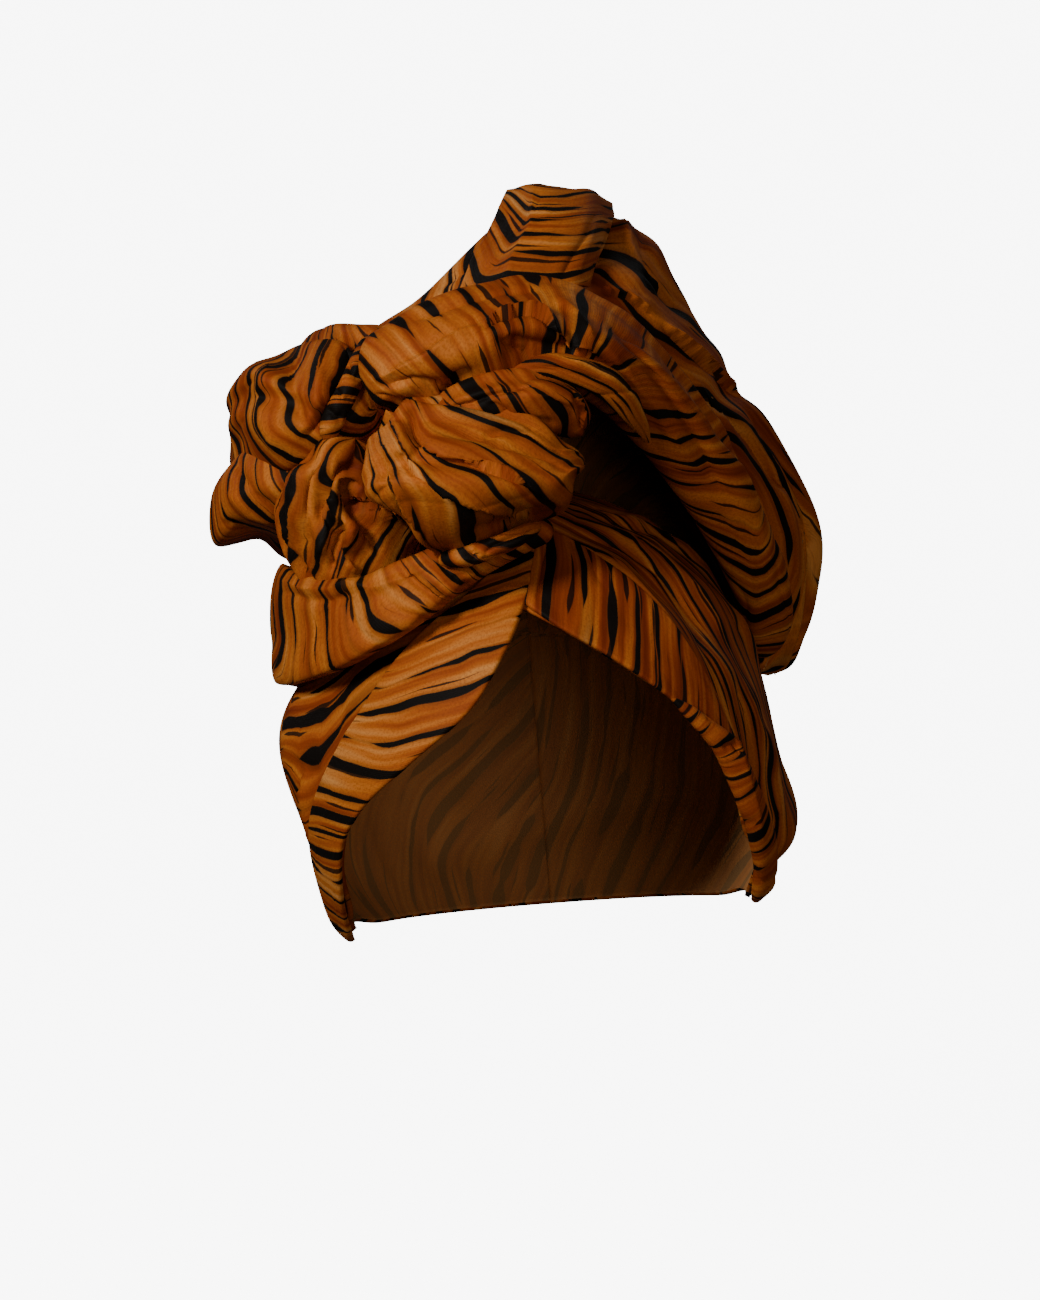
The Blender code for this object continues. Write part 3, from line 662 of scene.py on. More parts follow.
def wear_cloth(piece, node, finish, backing=None):
    """Gives a piece its finish and its place in the frame, instead of its CAD node."""
    piece.data.materials.append(finish)
    if backing:
        piece.data.materials.append(backing)
        piece.modifiers["wall"].material_offset = 1
    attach(piece, "root")
    if node:
        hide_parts(node)


LINING = printed_jersey("cloth_back", 3.0, back=True)

# %% [markdown]
# ## Rolls of cloth
# Most of the wrap is cloth rolled into soft tubes. A plain curve with a bevel would be as round as a
# hose. A roll here has its own width, thickness and lean at each place along a smooth line, flattens
# where it lies on the head, and then takes its folds, its small crumples and its creases.

# %% Roll builder
Fold = namedtuple("Fold", "angle wide deep start end drift")


def roll_points(sections, width, thickness, root, blunt, folds=(), rows=150, sides=180, square=0.84):
    """A grid of points round a soft roll. It starts and ends on the side towards the head."""
    even = np.linspace(0, 1, rows + 1)
    share = (even + (1 - np.cos(math.pi * even)) / 2) / 2
    here = smooth(sections, share)
    middle = here[:, :3] * SHARES
    along = (smooth(sections, share + 0.01) - smooth(sections, share - 0.01))[:, :3] * SHARES
    along /= np.linalg.norm(along, axis=1, keepdims=True)
    outward = middle - HUB
    outward -= (outward * along).sum(1, keepdims=True) * along
    outward /= np.linalg.norm(outward, axis=1, keepdims=True)
    sideways = np.cross(along, outward)
    lean = np.radians(here[:, 5])[:, None]
    thick_way = outward * np.cos(lean) + sideways * np.sin(lean)
    wide_way = sideways * np.cos(lean) - outward * np.sin(lean)
    angle = -90 + 360 * np.arange(sides + 1) / sides
    end = np.minimum(share, 1 - share)
    size = np.sqrt(np.clip(1 - (1 - np.minimum(end / blunt, 1)) ** 2, 0, 1))[:, None]
    reach = np.repeat(size, sides + 1, axis=1)
    for fold in folds:
        run = np.clip((share - fold.start) / (fold.end - fold.start), 0, 1)
        off = (angle[None] - fold.angle - fold.drift * run[:, None] + 180) % 360 - 180
        soft = np.sqrt(np.sin(math.pi * run))[:, None] * np.exp(-((off / fold.wide) ** 2))
        reach = reach - size * fold.deep * soft
    turned = np.radians(angle)[None]
    cosine = np.sign(np.cos(turned)) * np.abs(np.cos(turned)) ** square
    sine = np.sign(np.sin(turned)) * np.abs(np.sin(turned)) ** square
    sine = sine * np.where(sine < 0, root, 1.0)
    wide = (here[:, 3] * width / 2)[:, None] * reach * cosine
    thick = (here[:, 4] * thickness / 2)[:, None] * reach * sine
    points = middle[:, None] + wide_way[:, None] * wide[..., None] + thick_way[:, None] * thick[..., None]
    return off_head(points, REST)


def crumple(points, swell, lines, wide, long, seed, fade=(14, 12)):
    """Small folds: soft swells and thin pulled lines, in millimetres, that fade out at the edges."""
    down = np.linalg.norm(np.diff(points, axis=0), axis=-1).mean(1)
    over = np.linalg.norm(np.diff(points, axis=1), axis=-1).mean(0)
    s = np.concatenate([[0], np.cumsum(down)])[:, None] * 1000 + np.zeros(points.shape[:2])
    t = np.concatenate([[0], np.cumsum(over)])[None] * 1000 + np.zeros(points.shape[:2])
    high = swell * patches(t / wide, s / long, seed)
    high += 0.35 * swell * patches(2.3 * t / wide, 2.3 * s / long, seed + 1)
    bent = t + wide * 0.8 * patches(t / wide / 3, s / long / 1.4, seed + 2)
    high -= lines * pulls(bent / wide / 1.5, s / long / 1.7, seed + 3)
    for axis, steep in enumerate(fade):
        share = np.linspace(0, 1, points.shape[axis])
        edge = np.clip(np.minimum(share, 1 - share) * steep, 0, 1)
        high = high * (edge[None] if axis else edge[:, None])
    return points + normals(points) * high[..., None] / 1000


# %% [markdown]
# ## The cap
# The cap is a close hood that leaves the face open. It is one sheet: each column runs from the crown
# down to the face edge, or to the rim behind the ears. Its swells over the ears and its stretched folds
# are lifts off the head. Pulled tight from the knot, it shows fine fans of folds on the right.

# %% Cap
EDGE_UNDER_BAND = 2.0
FACE_EDGE = np.array([
    (-81, -40), (-72, -31), (-61, -18), (-54, -6), (-46, 2), (-33, 10), (-17, 20), (-8, 29), (-2, 39),
    (8, 34), (20, 27), (34, 18), (44, 9), (50, -2), (57, -14), (67, -26), (82, -40),
])
# from_turn, from_rise, to_turn, to_rise, high and wide
CAP_PLEATS = [
    (12, 60, 62, 14, 0.0026, 5), (16, 66, 84, 26, 0.0030, 6), (24, 74, 104, 38, 0.0026, 7),
    (74, -13, 100, -10, 0.0085, 9), (-78, 13, -104, 12, 0.0082, 13), (-80, -28, -110, -26, 0.0020, 8),
    (150, 8, 196, -8, 0.0026, 9), (140, -14, 214, -26, 0.0022, 7),
]


def pleat_lift(turn, rise):
    """How far the cap's folds and swells stand off the head."""
    lift = np.zeros(np.broadcast(turn, rise).shape)
    for from_turn, from_rise, to_turn, to_rise, high, wide in CAP_PLEATS:
        run = np.array([to_turn - from_turn, to_rise - from_rise], float)
        for whole in (-360, 0, 360):
            a, b = turn + whole - from_turn, rise - from_rise
            share = np.clip((a * run[0] + b * run[1]) / (run @ run), 0, 1)
            off = np.hypot(a - share * run[0], b - share * run[1])
            lift += high * np.exp(-((off / wide) ** 2)) * (off < 3 * wide)
    return lift


def cap_points(columns=330, rows=130):
    turn = np.linspace(-180, 180, columns + 1)
    rim = -35 - 8 * np.maximum(0, -np.cos(np.radians(turn)))
    edge = np.interp(turn, FACE_EDGE[:, 0], FACE_EDGE[:, 1], left=-90, right=-90)
    low = np.maximum(rim, edge + EDGE_UNDER_BAND)
    share = np.linspace(0, 1, rows + 1)[:, None]
    rise = 89.2 + (low[None] - 89.2) * share
    return on_head(turn[None] + 0 * rise, rise, CAP_WALL + pleat_lift(turn[None] + 0 * rise, rise))


CAP_FLOW = [
    [(309, 700), (361, 694)], [(300, 731), (352, 728)], [(303, 752), (338, 760)], [(286, 801), (303, 809)],
    [(306, 832), (321, 841)], [(320, 880), (334, 890)],
    [(607, 509), (702, 544), (746, 625)], [(575, 532), (630, 547), (662, 593)],
    [(630, 532), (691, 596), (708, 633), (731, 682)], [(754, 694), (769, 769), (760, 801)],
    [(778, 755), (786, 821), (772, 841)], [(745, 640), (752, 700)],
]
CAP_CREASES = [
    valley(1.6, 1.8, (572, 530), (620, 544), (660, 570), (694, 622), (722, 684)),
    valley(1.8, 2.0, (596, 518), (660, 530), (712, 566), (742, 616), (756, 668)),
    ridge(1.4, 2.2, (590, 524), (650, 548), (700, 594), (730, 650)),
    valley(1.3, 1.6, (588, 506), (650, 512), (716, 548), (748, 606)),
    ridge(1.0, 2.0, (600, 514), (668, 524), (730, 576), (752, 640)),
    valley(1.6, 1.6, (560, 545), (604, 574), (640, 612), (660, 650), (694, 690)),
    ridge(1.2, 1.8, (570, 540), (620, 566), (664, 616), (700, 674)),
    valley(1.6, 2.0, (738, 668), (752, 724), (758, 780), (752, 840)),
    ridge(1.4, 2.2, (757, 716), (778, 780), (774, 836)),
    valley(1.2, 1.8, (764, 690), (784, 756), (792, 800)),
    lap(1.6, 2.0, (300, 770), (304, 810), (318, 860), (330, 890)),
    valley(0.9, 1.8, (290, 760), (300, 770), (322, 772)),
]
CAP_GRABS = [
    Grab(322, 912, 2.6, 1.2, 0, 26), Grab(804, 800, -2.0, 0, 0, 34), Grab(778, 894, -3.4, 1.4, 0, 20),
    Grab(743, 903, 1.6, 2.8, 0, 14), Grab(358, 934, -1.8, 2.6, 0, 14),
]
points = grab(cap_points(), CAP_GRABS)
points = crease(crumple(points, 0.5, 0.5, 14, 40, 5, (9, 24)), CAP_CREASES)
cap = lined(new_cloth("cap_cloth", points, lay_print(points, CAP_FLOW)), 0.0018)
wear_cloth(cap, "cap", printed_jersey("cap_print", 11.0, spacing=8.0, rust=0.02), LINING)

# %% [markdown]
# ## The two bands
# Each band is a doubled strip with a turned edge, and a doubled edge is round. So a band's grid runs
# from under the strip, round its face edge, over it, and round its seam, in one closed sweep.

# %% Bands
# face_turn, face_rise, seam_turn, seam_rise
LEFT_BAND = [
    (6, 54, 4, 62), (-1, 41, -8, 52), (-7, 31, -20, 43), (-16, 20, -33, 34), (-32, 10, -45, 22),
    (-45, 2, -56, 10), (-53, -6, -65, 0), (-60, -18, -72, -10), (-70, -30, -79, -24),
    (-77, -34.5, -81, -32.5),
]
RIGHT_BAND = [
    (-1, 41, 7, 60), (8, 35, 18, 54), (20, 28, 29, 46), (33, 19, 38, 35), (42, 11, 45, 22), (48, 2, 51, 8),
]


def band_points(rows, stations=240, across=50, wall=BAND_WALL):
    """A doubled strip on the cap, with round edges."""
    here = smooth(rows, np.linspace(0, 1, stations + 1))[:, None]
    face = on_head(here[..., 0], here[..., 1], CAP_WALL)
    seam = on_head(here[..., 2], here[..., 3], CAP_WALL)
    width = np.maximum(np.linalg.norm(seam - face, axis=-1), 0.002)
    round_edge = wall / 2 / width
    under = np.minimum(6 * round_edge, 0.4)
    bend = np.radians(np.linspace(-90, 90, 9))[None]
    flat = np.linspace(0, 1, across)[None]
    share = np.concatenate([
        under + 0 * bend[:, :1], round_edge * (1 - np.cos(bend)),
        round_edge + (1 - 2 * round_edge) * flat[:, 1:-1],
        1 - round_edge * (1 - np.cos(bend)), 1 - under + 0 * bend[:, :1],
    ], axis=1)
    lift = np.concatenate([
        np.full((1, 1), -0.0006), wall / 2 * (1 + np.sin(bend)), wall * (1 + 0 * flat[:, 1:-1]),
        wall / 2 * (1 - np.sin(bend)), np.full((1, 1), -0.0006),
    ], axis=1)
    turn = here[..., 0] + (here[..., 2] - here[..., 0]) * share
    rise = here[..., 1] + (here[..., 3] - here[..., 1]) * share
    lift = lift + 0.35 * wall * np.sin(math.pi * np.clip(share, 0, 1))
    return on_head(turn, rise, CAP_WALL + pleat_lift(turn, rise) + lift + 0.0002)


def make_band(side, rows, creases, flow, folds_seed, **finish):
    """A band with its folds, print and finish, its outside turned away from the head."""
    points = crease(crumple(band_points(rows), 0.25, 0.3, 10, 24, folds_seed), creases)
    if (normals(points) * (points - HUB)).sum() < 0:
        points = points[::-1]
    band = new_cloth(f"{side}_band_cloth", points, lay_print(points, flow))
    finish = printed_jersey(f"{side}_band_print", **finish)
    wear_cloth(band, f"front_band_{side}", finish)
    return band


LEFT_BAND_FLOW = [
    [(447, 605), (523, 572)], [(401, 658), (480, 630)], [(420, 660), (500, 628)], [(373, 700), (434, 685)],
    [(395, 755), (441, 743)], [(337, 762), (379, 774)], [(327, 786), (379, 795)], [(318, 811), (355, 829)],
    [(318, 847), (346, 844)], [(333, 900), (343, 905)],
]
LEFT_BAND_CREASES = [
    valley(0.7, 1.6, (522, 608), (497, 640), (478, 672)),
    valley(0.6, 1.5, (505, 590), (470, 616), (440, 640)),
]
make_band("left", LEFT_BAND, LEFT_BAND_CREASES, LEFT_BAND_FLOW, 8, seed=23.0, rust=-0.03)

RIGHT_BAND_FLOW = [
    [(546, 532), (546, 607)], [(532, 549), (535, 607)], [(569, 532), (558, 627)], [(590, 555), (590, 648)],
    [(630, 604), (624, 671)], [(673, 651), (662, 694)],
]
RIGHT_BAND_CREASES = [
    valley(0.9, 1.3, (549, 532), (541, 565), (537, 600)),
    valley(0.6, 1.5, (560, 530), (590, 560), (606, 590)),
]
# The right band lies in shade, so it gets the most painted shade.
make_band("right", RIGHT_BAND, RIGHT_BAND_CREASES, RIGHT_BAND_FLOW, 9,
                   seed=31.0, spacing=10.5, width=3.8, rust=0.08)

# %% [markdown]
# ## The rolls over the brow
# From the temple upwards come the rolled edge, the sash, its tucked end, the knot, and the narrow
# inner fold. A row of each table is a place along the roll: how far across, deep and high, as shares of
# the head, then its width, thickness and lean.

# %% Temple roll
# turn, rise and size
TEMPLE = [(33, 19.5, .30), (39, 14, .62), (45, 8, .84), (51.5, -3, .96), (58.5, -14, 1), (66, -24, .92),
          (73, -31, .60)]
TEMPLE_LINE = [(*(on_head(turn, rise, CAP_WALL + 0.0036 * size) / SHARES), size, size, 0)
               for turn, rise, size in TEMPLE]
TEMPLE_FLOW = [[(727, 772), (738, 764)], [(733, 812), (747, 806)], [(742, 840), (752, 834)]]


def make_roll(name, node, line, width, thickness, root, blunt, folds, small, flow, creases, finish,
              rows=150, sides=180, square=0.84, grabs=(), fan=0):
    """A roll with its folds, print and finish, standing for its CAD node."""
    points = grab(roll_points(line, width, thickness, root, blunt, folds, rows, sides, square), grabs)
    points = off_head(crease(crumple(points, *small), creases), REST)
    piece = new_cloth(name + "_soft", points, lay_print(points, flow, fan), closed=True)
    wear_cloth(piece, node, printed_jersey(name + "_print", **finish))


TEMPLE_CREASES = [
    valley(1.0, 1.2, (706, 716), (720, 716), (730, 728)),
    valley(1.0, 1.2, (722, 748), (734, 744), (742, 756)),
    ridge(1.0, 1.6, (716, 704), (736, 740), (752, 790), (764, 840)),
]
make_roll("temple", "temple_roll", TEMPLE_LINE, 0.0095, 0.008, 1.0, 0.16, (), (0.3, 0.5, 5, 9, 21),
          TEMPLE_FLOW, TEMPLE_CREASES, dict(seed=41.0, spacing=7.0, rust=0.03), rows=160, sides=70)

# %% Sash
SASH = [
    (.12, -.72, .92, .18, .60, 0), (-.09, -.78, .88, .28, .90, 0), (-.30, -.82, .82, .40, 1, 0),
    (-.55, -.77, .73, .58, 1, 0), (-.78, -.62, .67, .76, 1, -2), (-.97, -.36, .64, .90, 1, -4),
    (-1.05, -.04, .63, .98, 1, -4), (-1.00, .34, .58, .98, 1, 0), (-.82, .68, .52, .94, 1, 6),
    (-.45, .92, .45, .90, 1, 12), (.02, 1.00, .40, .86, 1, 14), (.48, .89, .38, .80, 1, 14),
    (.82, .64, .38, .70, 1, 12), (.97, .40, .36, .50, .90, 8),
]
SASH_FOLDS = [Fold(70, 26, .34, .02, .45, 30), Fold(118, 22, .28, .25, .95, -16)]
SASH_FLOW = [
    [(277, 572), (275, 664)], [(287, 575), (289, 670)], [(294, 581), (306, 609), (317, 651), (313, 672)],
    [(309, 587), (333, 651), (361, 664)], [(358, 584), (376, 612), (413, 624)], [(378, 573), (425, 606)],
    [(404, 569), (428, 603)], [(438, 560), (456, 586)], [(470, 548), (482, 566)],
]
SASH_CREASES = [
    ridge(0.8, 1.6, (274, 576), (300, 588), (328, 590), (346, 582), (372, 588), (404, 578), (430, 566)),
    valley(0.9, 1.7, (280, 590), (304, 600), (332, 602), (350, 594)),
    valley(0.9, 2.0, (345, 586), (346, 606), (356, 630), (380, 650)),
    valley(0.7, 2.0, (372, 588), (400, 612), (434, 622)),
    valley(1.4, 1.6, (400, 570), (424, 590), (450, 604)),
    valley(1.2, 1.5, (438, 560), (456, 578), (474, 590)),
]
SASH_GRABS = [
    Grab(352, 560, 0, -4.5, 3.0, 36), Grab(300, 566, 0, -3.0, 2.5, 30), Grab(420, 560, 0, -1.5, 2.0, 30),
]
make_roll("sash", "side_sash", SASH, 0.044, 0.009, 2.2, 0.02, SASH_FOLDS, (0.5, 0.6, 12, 40, 33),
          SASH_FLOW, SASH_CREASES, dict(seed=57.0, spacing=6.6, width=3.0, waver=6.0), 420, 110,
          grabs=SASH_GRABS)

# %% Tuck
TUCK = [
    (-.58, -.44, .70, .86, .84, 0), (-.68, -.49, .84, 1, 1, 0), (-.75, -.53, .99, 1.04, 1.04, 0),
    (-.74, -.57, 1.13, .88, .92, 0), (-.64, -.62, 1.25, .60, .70, 0),
]
TUCK_FOLDS = [Fold(60, 18, .26, 0, .90, -20), Fold(105, 16, .22, 0, 1, 26)]
TUCK_FLOW = [
    [(334, 446), (310, 489), (307, 545)], [(310, 500), (306, 556), (310, 578)], [(326, 530), (321, 575)],
    [(361, 462), (329, 485), (321, 510)], [(291, 500), (286, 560)], [(284, 510), (280, 545)],
    [(352, 540), (350, 570)],
]
TUCK_CREASES = [
    valley(3.6, 2.0, (344, 480), (350, 500), (358, 514), (370, 532), (378, 552)),
    valley(2.6, 1.8, (360, 463), (345, 469), (331, 481), (325, 498), (322, 524)),
    ridge(2.4, 2.2, (350, 520), (350, 545), (354, 574)),
    valley(2.4, 1.5, (341, 518), (333, 545), (330, 576)),
    ridge(1.6, 2.0, (338, 488), (326, 520), (318, 562)),
    valley(1.4, 1.5, (326, 450), (309, 480), (305, 515), (309, 560)),
    ridge(1.8, 2.6, (308, 458), (294, 490), (290, 530), (297, 568)),
    valley(1.2, 1.5, (284, 494), (281, 525), (287, 556)),
    ridge(1.8, 2.2, (366, 505), (392, 520), (420, 545)),
    valley(1.8, 1.5, (362, 486), (350, 484), (346, 494), (356, 502)),
]
TUCK_GRABS = [
    Grab(284, 516, -2.4, 0, 0, 26), Grab(299, 448, 2.2, -3.0, 0, 18), Grab(330, 572, 0, -3.0, 0, 30),
]
make_roll("tuck", "side_tuck", TUCK, 0.038, 0.030, 1.2, 0.16, TUCK_FOLDS, (0.7, 0.9, 9, 22, 47),
          TUCK_FLOW, TUCK_CREASES, dict(seed=61.0, spacing=8.0, width=2.6, rust=-0.02),
          square=0.66, grabs=TUCK_GRABS, fan=3)

# %% Knot
KNOT = [
    (-.51, -.80, 1.08, .60, .60, -8), (-.42, -.86, 1.12, .92, .92, -8), (-.26, -.89, 1.12, 1, 1, -6),
    (-.07, -.89, 1.10, .92, .98, 0), (.10, -.87, 1.09, .68, .80, 6), (.26, -.81, 1.10, .34, .44, 10),
]
KNOT_FOLDS = [
    Fold(58, 13, .20, .05, .98, 20), Fold(98, 11, .16, .10, .98, -6), Fold(136, 13, .20, 0, .95, -24),
]
KNOT_FLOW = [
    [(428, 430), (495, 437), (546, 458), (570, 482)], [(428, 454), (484, 465), (551, 503)],
    [(412, 462), (440, 487), (500, 505), (530, 513)], [(452, 512), (475, 529)],
    [(398, 480), (418, 505), (440, 542)], [(386, 490), (405, 525), (425, 545)],
    [(371, 448), (380, 468), (378, 490)], [(408, 416), (418, 432)],
    [(470, 424), (530, 430)],
]
KNOT_CREASES = [
    valley(2.6, 1.6, (404, 410), (412, 428), (421, 440), (416, 454)),
    ridge(1.6, 1.8, (396, 420), (402, 440), (404, 456)),
    lap(1.8, 2.2, (421, 452), (460, 458), (505, 474), (545, 497), (556, 505)),
    lap(1.8, 2.2, (398, 440), (412, 470), (440, 492), (480, 507), (520, 516), (540, 512)),
    lap(1.4, 2.0, (386, 470), (402, 506), (424, 535), (440, 552)),
    valley(1.6, 1.3, (586, 457), (566, 451), (548, 442), (530, 431), (505, 429), (480, 435), (440, 432)),
    valley(1.2, 1.6, (574, 472), (548, 458), (516, 446), (480, 442)),
    valley(1.6, 1.5, (548, 506), (520, 520), (486, 530), (456, 542)),
    valley(1.1, 1.8, (374, 444), (382, 466), (384, 488), (374, 500)),
]
KNOT_GRABS = [
    Grab(512, 552, 0, 9.0, 0, 34), Grab(548, 536, 1.0, 4.0, 0, 24), Grab(440, 566, 0, 4.0, 0, 20),
    Grab(392, 520, 2.2, 1.0, 0, 20), Grab(586, 486, -3.0, 2.4, 0, 16), Grab(562, 432, 0, -2.6, 0, 20),
    Grab(374, 418, 3.2, -2.6, 0, 20), Grab(364, 456, 1.6, 0, 0, 20), Grab(408, 404, 0, 1.6, 2.0, 14),
]
make_roll("knot", "front_knot", KNOT, 0.043, 0.046, 2.0, 0.20, KNOT_FOLDS, (0.5, 0.6, 9, 26, 59),
          KNOT_FLOW, KNOT_CREASES, dict(seed=77.0, spacing=8.8, width=2.5, waver=3.0, rust=-0.02),
          square=0.68, grabs=KNOT_GRABS, fan=6)

# Two small pleats of the sash come out from under the knot.
UNDER_KNOT = [(440, 560, 87), (464, 556, 93), (490, 548, 95), (516, 538, 94), (540, 524, 90)]
UNDER_LINE = [(*placed(*spot) / SHARES, 1, 1, 0) for spot in UNDER_KNOT]
make_roll("under_knot", None, UNDER_LINE, 0.0065, 0.0065, 1.0, 0.24, (), (0.4, 0.5, 6, 14, 63),
          [[(446, 556), (452, 566)], [(470, 548), (478, 560)], [(495, 540), (530, 528)]],
          [valley(1.6, 1.2, (486, 556), (490, 545), (505, 538), (532, 528)),
           valley(1.4, 1.2, (478, 560), (470, 552), (474, 545))],
          dict(seed=67.0, spacing=6.5), 90, 60)

# %% Inner fold
INNER = [
    (-.32, -.84, 1.29, .60, .70, 0), (-.13, -.88, 1.33, .90, .95, 0), (.07, -.88, 1.34, 1, 1, 0),
    (.19, -.83, 1.30, .95, .90, 0), (.26, -.76, 1.22, .50, .50, 0),
]
INNER_FLOW = [
    [(489, 400), (513, 425)], [(508, 398), (532, 422)], [(529, 392), (583, 416)], [(455, 408), (480, 424)],
]
INNER_CREASES = [
    valley(1.6, 1.3, (446, 408), (470, 404), (486, 396), (510, 388), (536, 386)),
    valley(1.2, 1.4, (486, 400), (506, 412), (512, 428)),
    ridge(1.0, 1.6, (520, 394), (550, 396), (580, 404)),
    lap(1.2, 1.5, (574, 392), (582, 410), (580, 430)),
    valley(1.2, 1.3, (490, 422), (520, 420), (560, 426)),
]
make_roll("inner", "inner_fold", INNER, 0.017, 0.020, 1.6, 0.14, [Fold(90, 22, .24, .05, .95, 24)],
          (0.6, 0.8, 6, 14, 73), INNER_FLOW, INNER_CREASES, dict(seed=83.0, spacing=7.0, rust=0.03),
          120, 80)

# %% [markdown]
# ## The arch, its lip and the loops
# The arch is the largest roll: it rises on the left, passes over the knot, and falls down the right
# side. Its lip is a narrow fold in front of it. Two loops stand out on the left, and a thin roll fills
# the valley between them and the arch.

# %% Arch
ARCH = [
    (-.55, -.76, 1.38, .62, .74, 10), (-.40, -.78, 1.47, .92, 1, 8), (-.16, -.78, 1.54, 1, 1.06, 4),
    (.12, -.74, 1.57, 1, 1.06, 0), (.38, -.65, 1.48, .94, 1, 0), (.60, -.50, 1.30, .84, .92, 0),
    (.77, -.34, 1.09, .76, .86, 0), (.91, -.16, .87, .70, .80, 0), (1.00, 0, .68, .64, .74, 0),
    (1.04, .14, .50, .56, .64, 0), (.99, .26, .36, .42, .50, 0),
]
ARCH_FOLDS = [Fold(62, 20, .22, .06, .62, 28), Fold(118, 18, .20, .22, .98, -30)]
ARCH_FLOW = [
    [(369, 360), (398, 374)], [(414, 312), (462, 328)], [(400, 323), (457, 341), (535, 376)],
    [(436, 358), (500, 384)], [(476, 288), (521, 309)], [(512, 285), (554, 307)],
    [(497, 317), (519, 341), (535, 352)], [(540, 315), (554, 347)], [(380, 400), (405, 412)],
    [(609, 308), (619, 338), (606, 365)], [(646, 330), (646, 368), (636, 387)],
    [(673, 363), (673, 400), (653, 407)], [(712, 427), (710, 449), (693, 464)],
    [(737, 449), (737, 488), (715, 508)], [(767, 521), (762, 533), (740, 540)],
]
ARCH_CREASES = [
    valley(2.4, 3.2, (508, 336), (530, 345), (556, 350), (580, 352)),
    lap(2.6, 1.8, (482, 328), (498, 317), (520, 311), (534, 311), (545, 317), (552, 328), (566, 339),
        (588, 347), (602, 360)),
    valley(1.6, 1.2, (570, 332), (571, 345), (572, 356)),
    ridge(1.2, 1.4, (556, 298), (574, 312), (588, 330), (593, 341)),
    ridge(1.4, 1.4, (484, 326), (462, 334), (448, 343), (428, 357), (396, 372), (374, 380)),
    valley(2.4, 1.6, (448, 404), (450, 390), (458, 378), (476, 372)),
    valley(1.8, 1.6, (450, 398), (438, 386), (412, 380), (380, 386)),
    valley(1.4, 1.4, (372, 394), (396, 403), (426, 405)),
    valley(1.6, 1.5, (560, 352), (540, 354), (516, 348), (496, 336)),
    valley(1.4, 1.6, (404, 322), (452, 304), (500, 290), (548, 288)),
    ridge(1.6, 2.2, (600, 292), (640, 322), (680, 366), (706, 400), (736, 446), (760, 506)),
    valley(1.6, 1.8, (604, 316), (640, 352), (668, 394), (694, 436), (722, 492)),
    ridge(1.2, 2.0, (600, 340), (628, 372), (656, 412), (690, 458)),
]
ARCH_GRABS = [Grab(372, 344, -1.0, 1.0, 2.0, 22), Grab(368, 398, 0.8, -1.6, 0, 18)]
make_roll("arch", "arch_roll", ARCH, 0.032, 0.024, 1.3, 0.08, ARCH_FOLDS, (0.6, 0.7, 10, 24, 89),
          ARCH_FLOW, ARCH_CREASES, dict(seed=97.0, spacing=8.6, width=3.4), 400, 130, 0.62, ARCH_GRABS)

# %% Lip
LIP = [
    (-.10, -.82, 1.42, .40, .40, 0), (.05, -.87, 1.43, .70, .70, 0), (.20, -.87, 1.43, .90, .90, 0),
    (.35, -.82, 1.38, 1, 1, 0), (.45, -.73, 1.30, .86, .90, 0), (.51, -.65, 1.22, .56, .60, 0),
    (.54, -.60, 1.16, .30, .34, 0),
]
LIP_FLOW = [[(500, 352), (562, 367), (620, 385), (640, 412)], [(520, 360), (580, 374)]]
LIP_CREASES = [
    valley(1.0, 1.2, (530, 364), (562, 368), (600, 380), (624, 400)),
    ridge(0.9, 1.3, (560, 360), (600, 367), (626, 380), (644, 408)),
]
make_roll("lip", "arch_lip", LIP, 0.010, 0.009, 1.0, 0.34, (), (0.3, 0.4, 6, 20, 103), LIP_FLOW,
          LIP_CREASES, dict(seed=109.0, spacing=6.0, width=2.4, rust=-0.03), 200, 80, 0.9,
          [Grab(580, 370, 0, 0, -2.0, 60)])

# %% Loops
LOOP = [
    (-.54, -.62, 1.34, .62, .60, 0), (-.72, -.46, 1.39, .88, .86, 0), (-.86, -.22, 1.37, .98, 1, 0),
    (-.92, .06, 1.30, 1, 1, 0), (-.85, .34, 1.20, .90, .90, 0), (-.68, .58, 1.06, .64, .66, 0),
]
LOOP_FOLDS = [
    Fold(48, 18, .24, 0, .70, 26), Fold(96, 16, .16, .10, .95, -10), Fold(140, 17, .20, 0, .80, -24),
]
LOOP_FLOW = [
    [(267, 368), (272, 424), (307, 447)], [(302, 357), (296, 384), (307, 411)], [(246, 376), (241, 430)],
    [(255, 403), (258, 438), (280, 460)], [(329, 355), (326, 379)], [(345, 330), (352, 345)],
]
LOOP_CREASES = [
    valley(3.0, 2.2, (364, 330), (346, 354), (337, 376), (333, 398), (320, 418), (306, 440)),
    ridge(1.8, 2.6, (330, 345), (320, 368), (321, 390), (312, 412), (300, 434)),
    valley(1.4, 2.0, (300, 345), (290, 370), (292, 400), (306, 430)),
    ridge(1.4, 2.4, (270, 360), (260, 388), (264, 424), (282, 456)),
    valley(1.0, 1.8, (252, 370), (240, 400), (240, 436)),
]
LOOP_GRABS = [
    Grab(390, 326, 3.0, 5.0, 0, 22), Grab(262, 378, -4.0, 4.0, 0, 26),
    Grab(240, 400, -3.2, 0.6, 0, 20), Grab(222, 446, 4.8, 1.6, 0, 20), Grab(280, 460, 0, -3.0, 3.0, 26),
]
make_roll("loop", "side_loop", LOOP, 0.054, 0.040, 1.0, 0.14, LOOP_FOLDS, (0.6, 0.7, 12, 26, 113),
          LOOP_FLOW, LOOP_CREASES, dict(seed=125.0, spacing=7.4, width=3.4, length=46.0), square=0.62,
          grabs=LOOP_GRABS)

